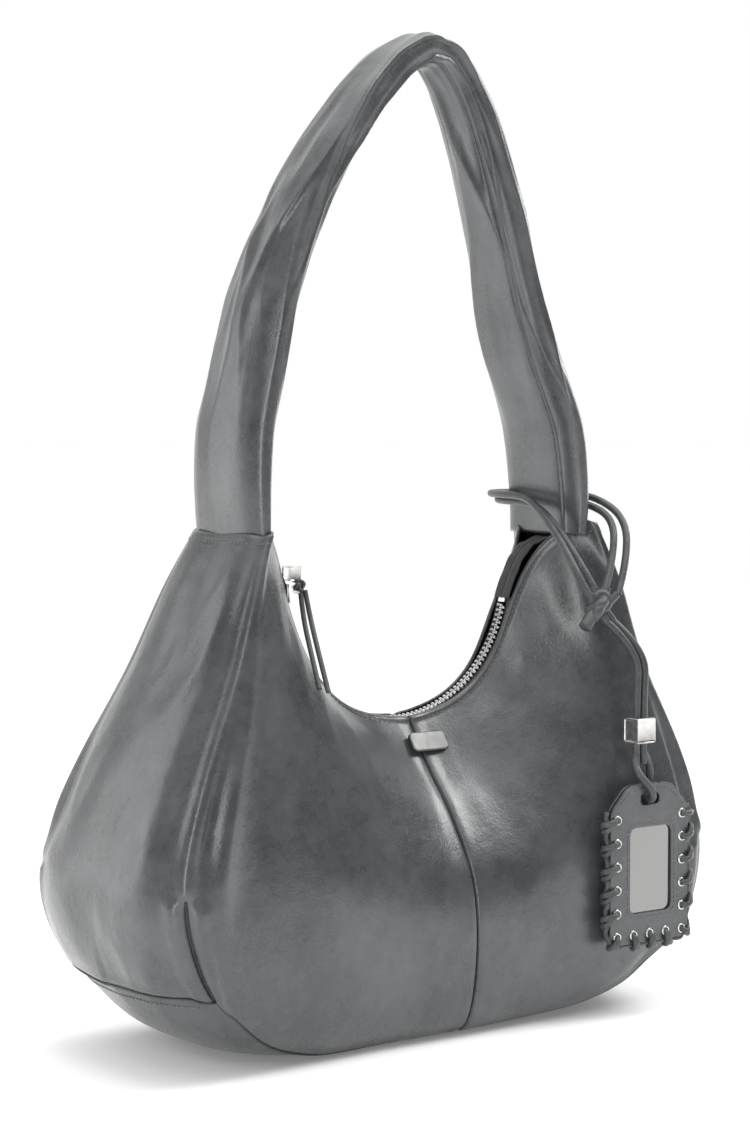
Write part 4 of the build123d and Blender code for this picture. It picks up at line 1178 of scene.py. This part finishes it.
# ================================================================ stage: floor, light
fl = bpy.data.meshes.new("floor")
fl.from_pydata([(-40, -40, 0), (40, -40, 0), (40, 40, 0), (-40, 40, 0)], [], [(0, 1, 2, 3)])
floor = bpy.data.objects.new("floor", fl)
bpy.context.scene.collection.objects.link(floor)
mf, nt, bs = new_mat("floor_paint")
nz = add(nt, "ShaderNodeTexNoise")
nz.inputs["Scale"].default_value = 3
rp = ramp(nt, [(0.0, (0.95, 0.95, 0.95)), (1.0, (0.97, 0.97, 0.97))])
nt.links.new(nz.outputs["Fac"], rp.inputs[0])
nt.links.new(rp.outputs[0], bs.inputs["Base Color"])
bs.inputs["Roughness"].default_value = 0.9
bs.inputs["Specular IOR Level"].default_value = 0.1
bs.inputs["Emission Color"].default_value = (1, 1, 1, 1)
bs.inputs["Emission Strength"].default_value = 0.14
fl.materials.append(mf)

w = bpy.data.worlds.new("studio")
w.use_nodes = True
wn = w.node_tree
bg = wn.nodes["Background"]
co = wn.nodes.new("ShaderNodeTexCoord")
dot = wn.nodes.new("ShaderNodeVectorMath")
dot.operation = "DOT_PRODUCT"
dot.inputs[1].default_value = (0.588, 0.809, 0.0)
wn.links.new(co.outputs["Generated"], dot.inputs[0])
far = wn.nodes.new("ShaderNodeMapRange")
far.interpolation_type = "SMOOTHSTEP"
for k, v in (("From Min", 0.25), ("From Max", 0.9), ("To Min", 0.16), ("To Max", 1.0)):
    far.inputs[k].default_value = v
wn.links.new(dot.outputs["Value"], far.inputs["Value"])
sep = wn.nodes.new("ShaderNodeSeparateXYZ")
wn.links.new(co.outputs["Generated"], sep.inputs[0])
sky = wn.nodes.new("ShaderNodeMapRange")
sky.interpolation_type = "SMOOTHSTEP"
for k, v in (("From Min", 0.5), ("From Max", 0.95), ("To Min", 0.0), ("To Max", 1.3)):
    sky.inputs[k].default_value = v
wn.links.new(sep.outputs["Z"], sky.inputs["Value"])
tot = wn.nodes.new("ShaderNodeMath")
tot.operation = "ADD"
wn.links.new(far.outputs[0], tot.inputs[0])
wn.links.new(sky.outputs[0], tot.inputs[1])
wn.links.new(tot.outputs[0], bg.inputs[1])
bg.inputs[0].default_value = (1, 1, 1, 1)
bpy.context.scene.world = w


def area(name, loc, target, size, power, color=(1, 1, 1)):
    ld = bpy.data.lights.new(name, "AREA")
    ld.shape = "RECTANGLE"
    ld.size, ld.size_y = size
    ld.energy = power
    ld.color = color
    o = bpy.data.objects.new(name, ld)
    o.location = loc
    o.rotation_euler = (Vector(target) - Vector(loc)).to_track_quat("-Z", "Y").to_euler()
    bpy.context.scene.collection.objects.link(o)
    return o


area("left", (-1.60, -0.95, 0.75), (-0.1, 0, 0.25), (0.32, 1.6), 12.0)
area("upper_right", (1.10, -0.65, 1.65), (0.0, 0, 0.2), (0.7, 0.7), 16.0)
area("back_left", (-1.30, 1.35, 0.55), (0.0, 0, 0.2), (0.6, 1.4), 6.5)
area("top", (-0.1, 0.0, 2.1), (0, 0, 0.2), (1.2, 0.8), 10.0)
area("right_edge", (1.75, 0.45, 0.75), (0.0, 0, 0.3), (0.35, 1.5), 6.0)
bpy.context.scene.view_settings.view_transform = "Standard"
bpy.context.scene.view_settings.look = "None"
bpy.context.scene.view_settings.exposure = 0.0
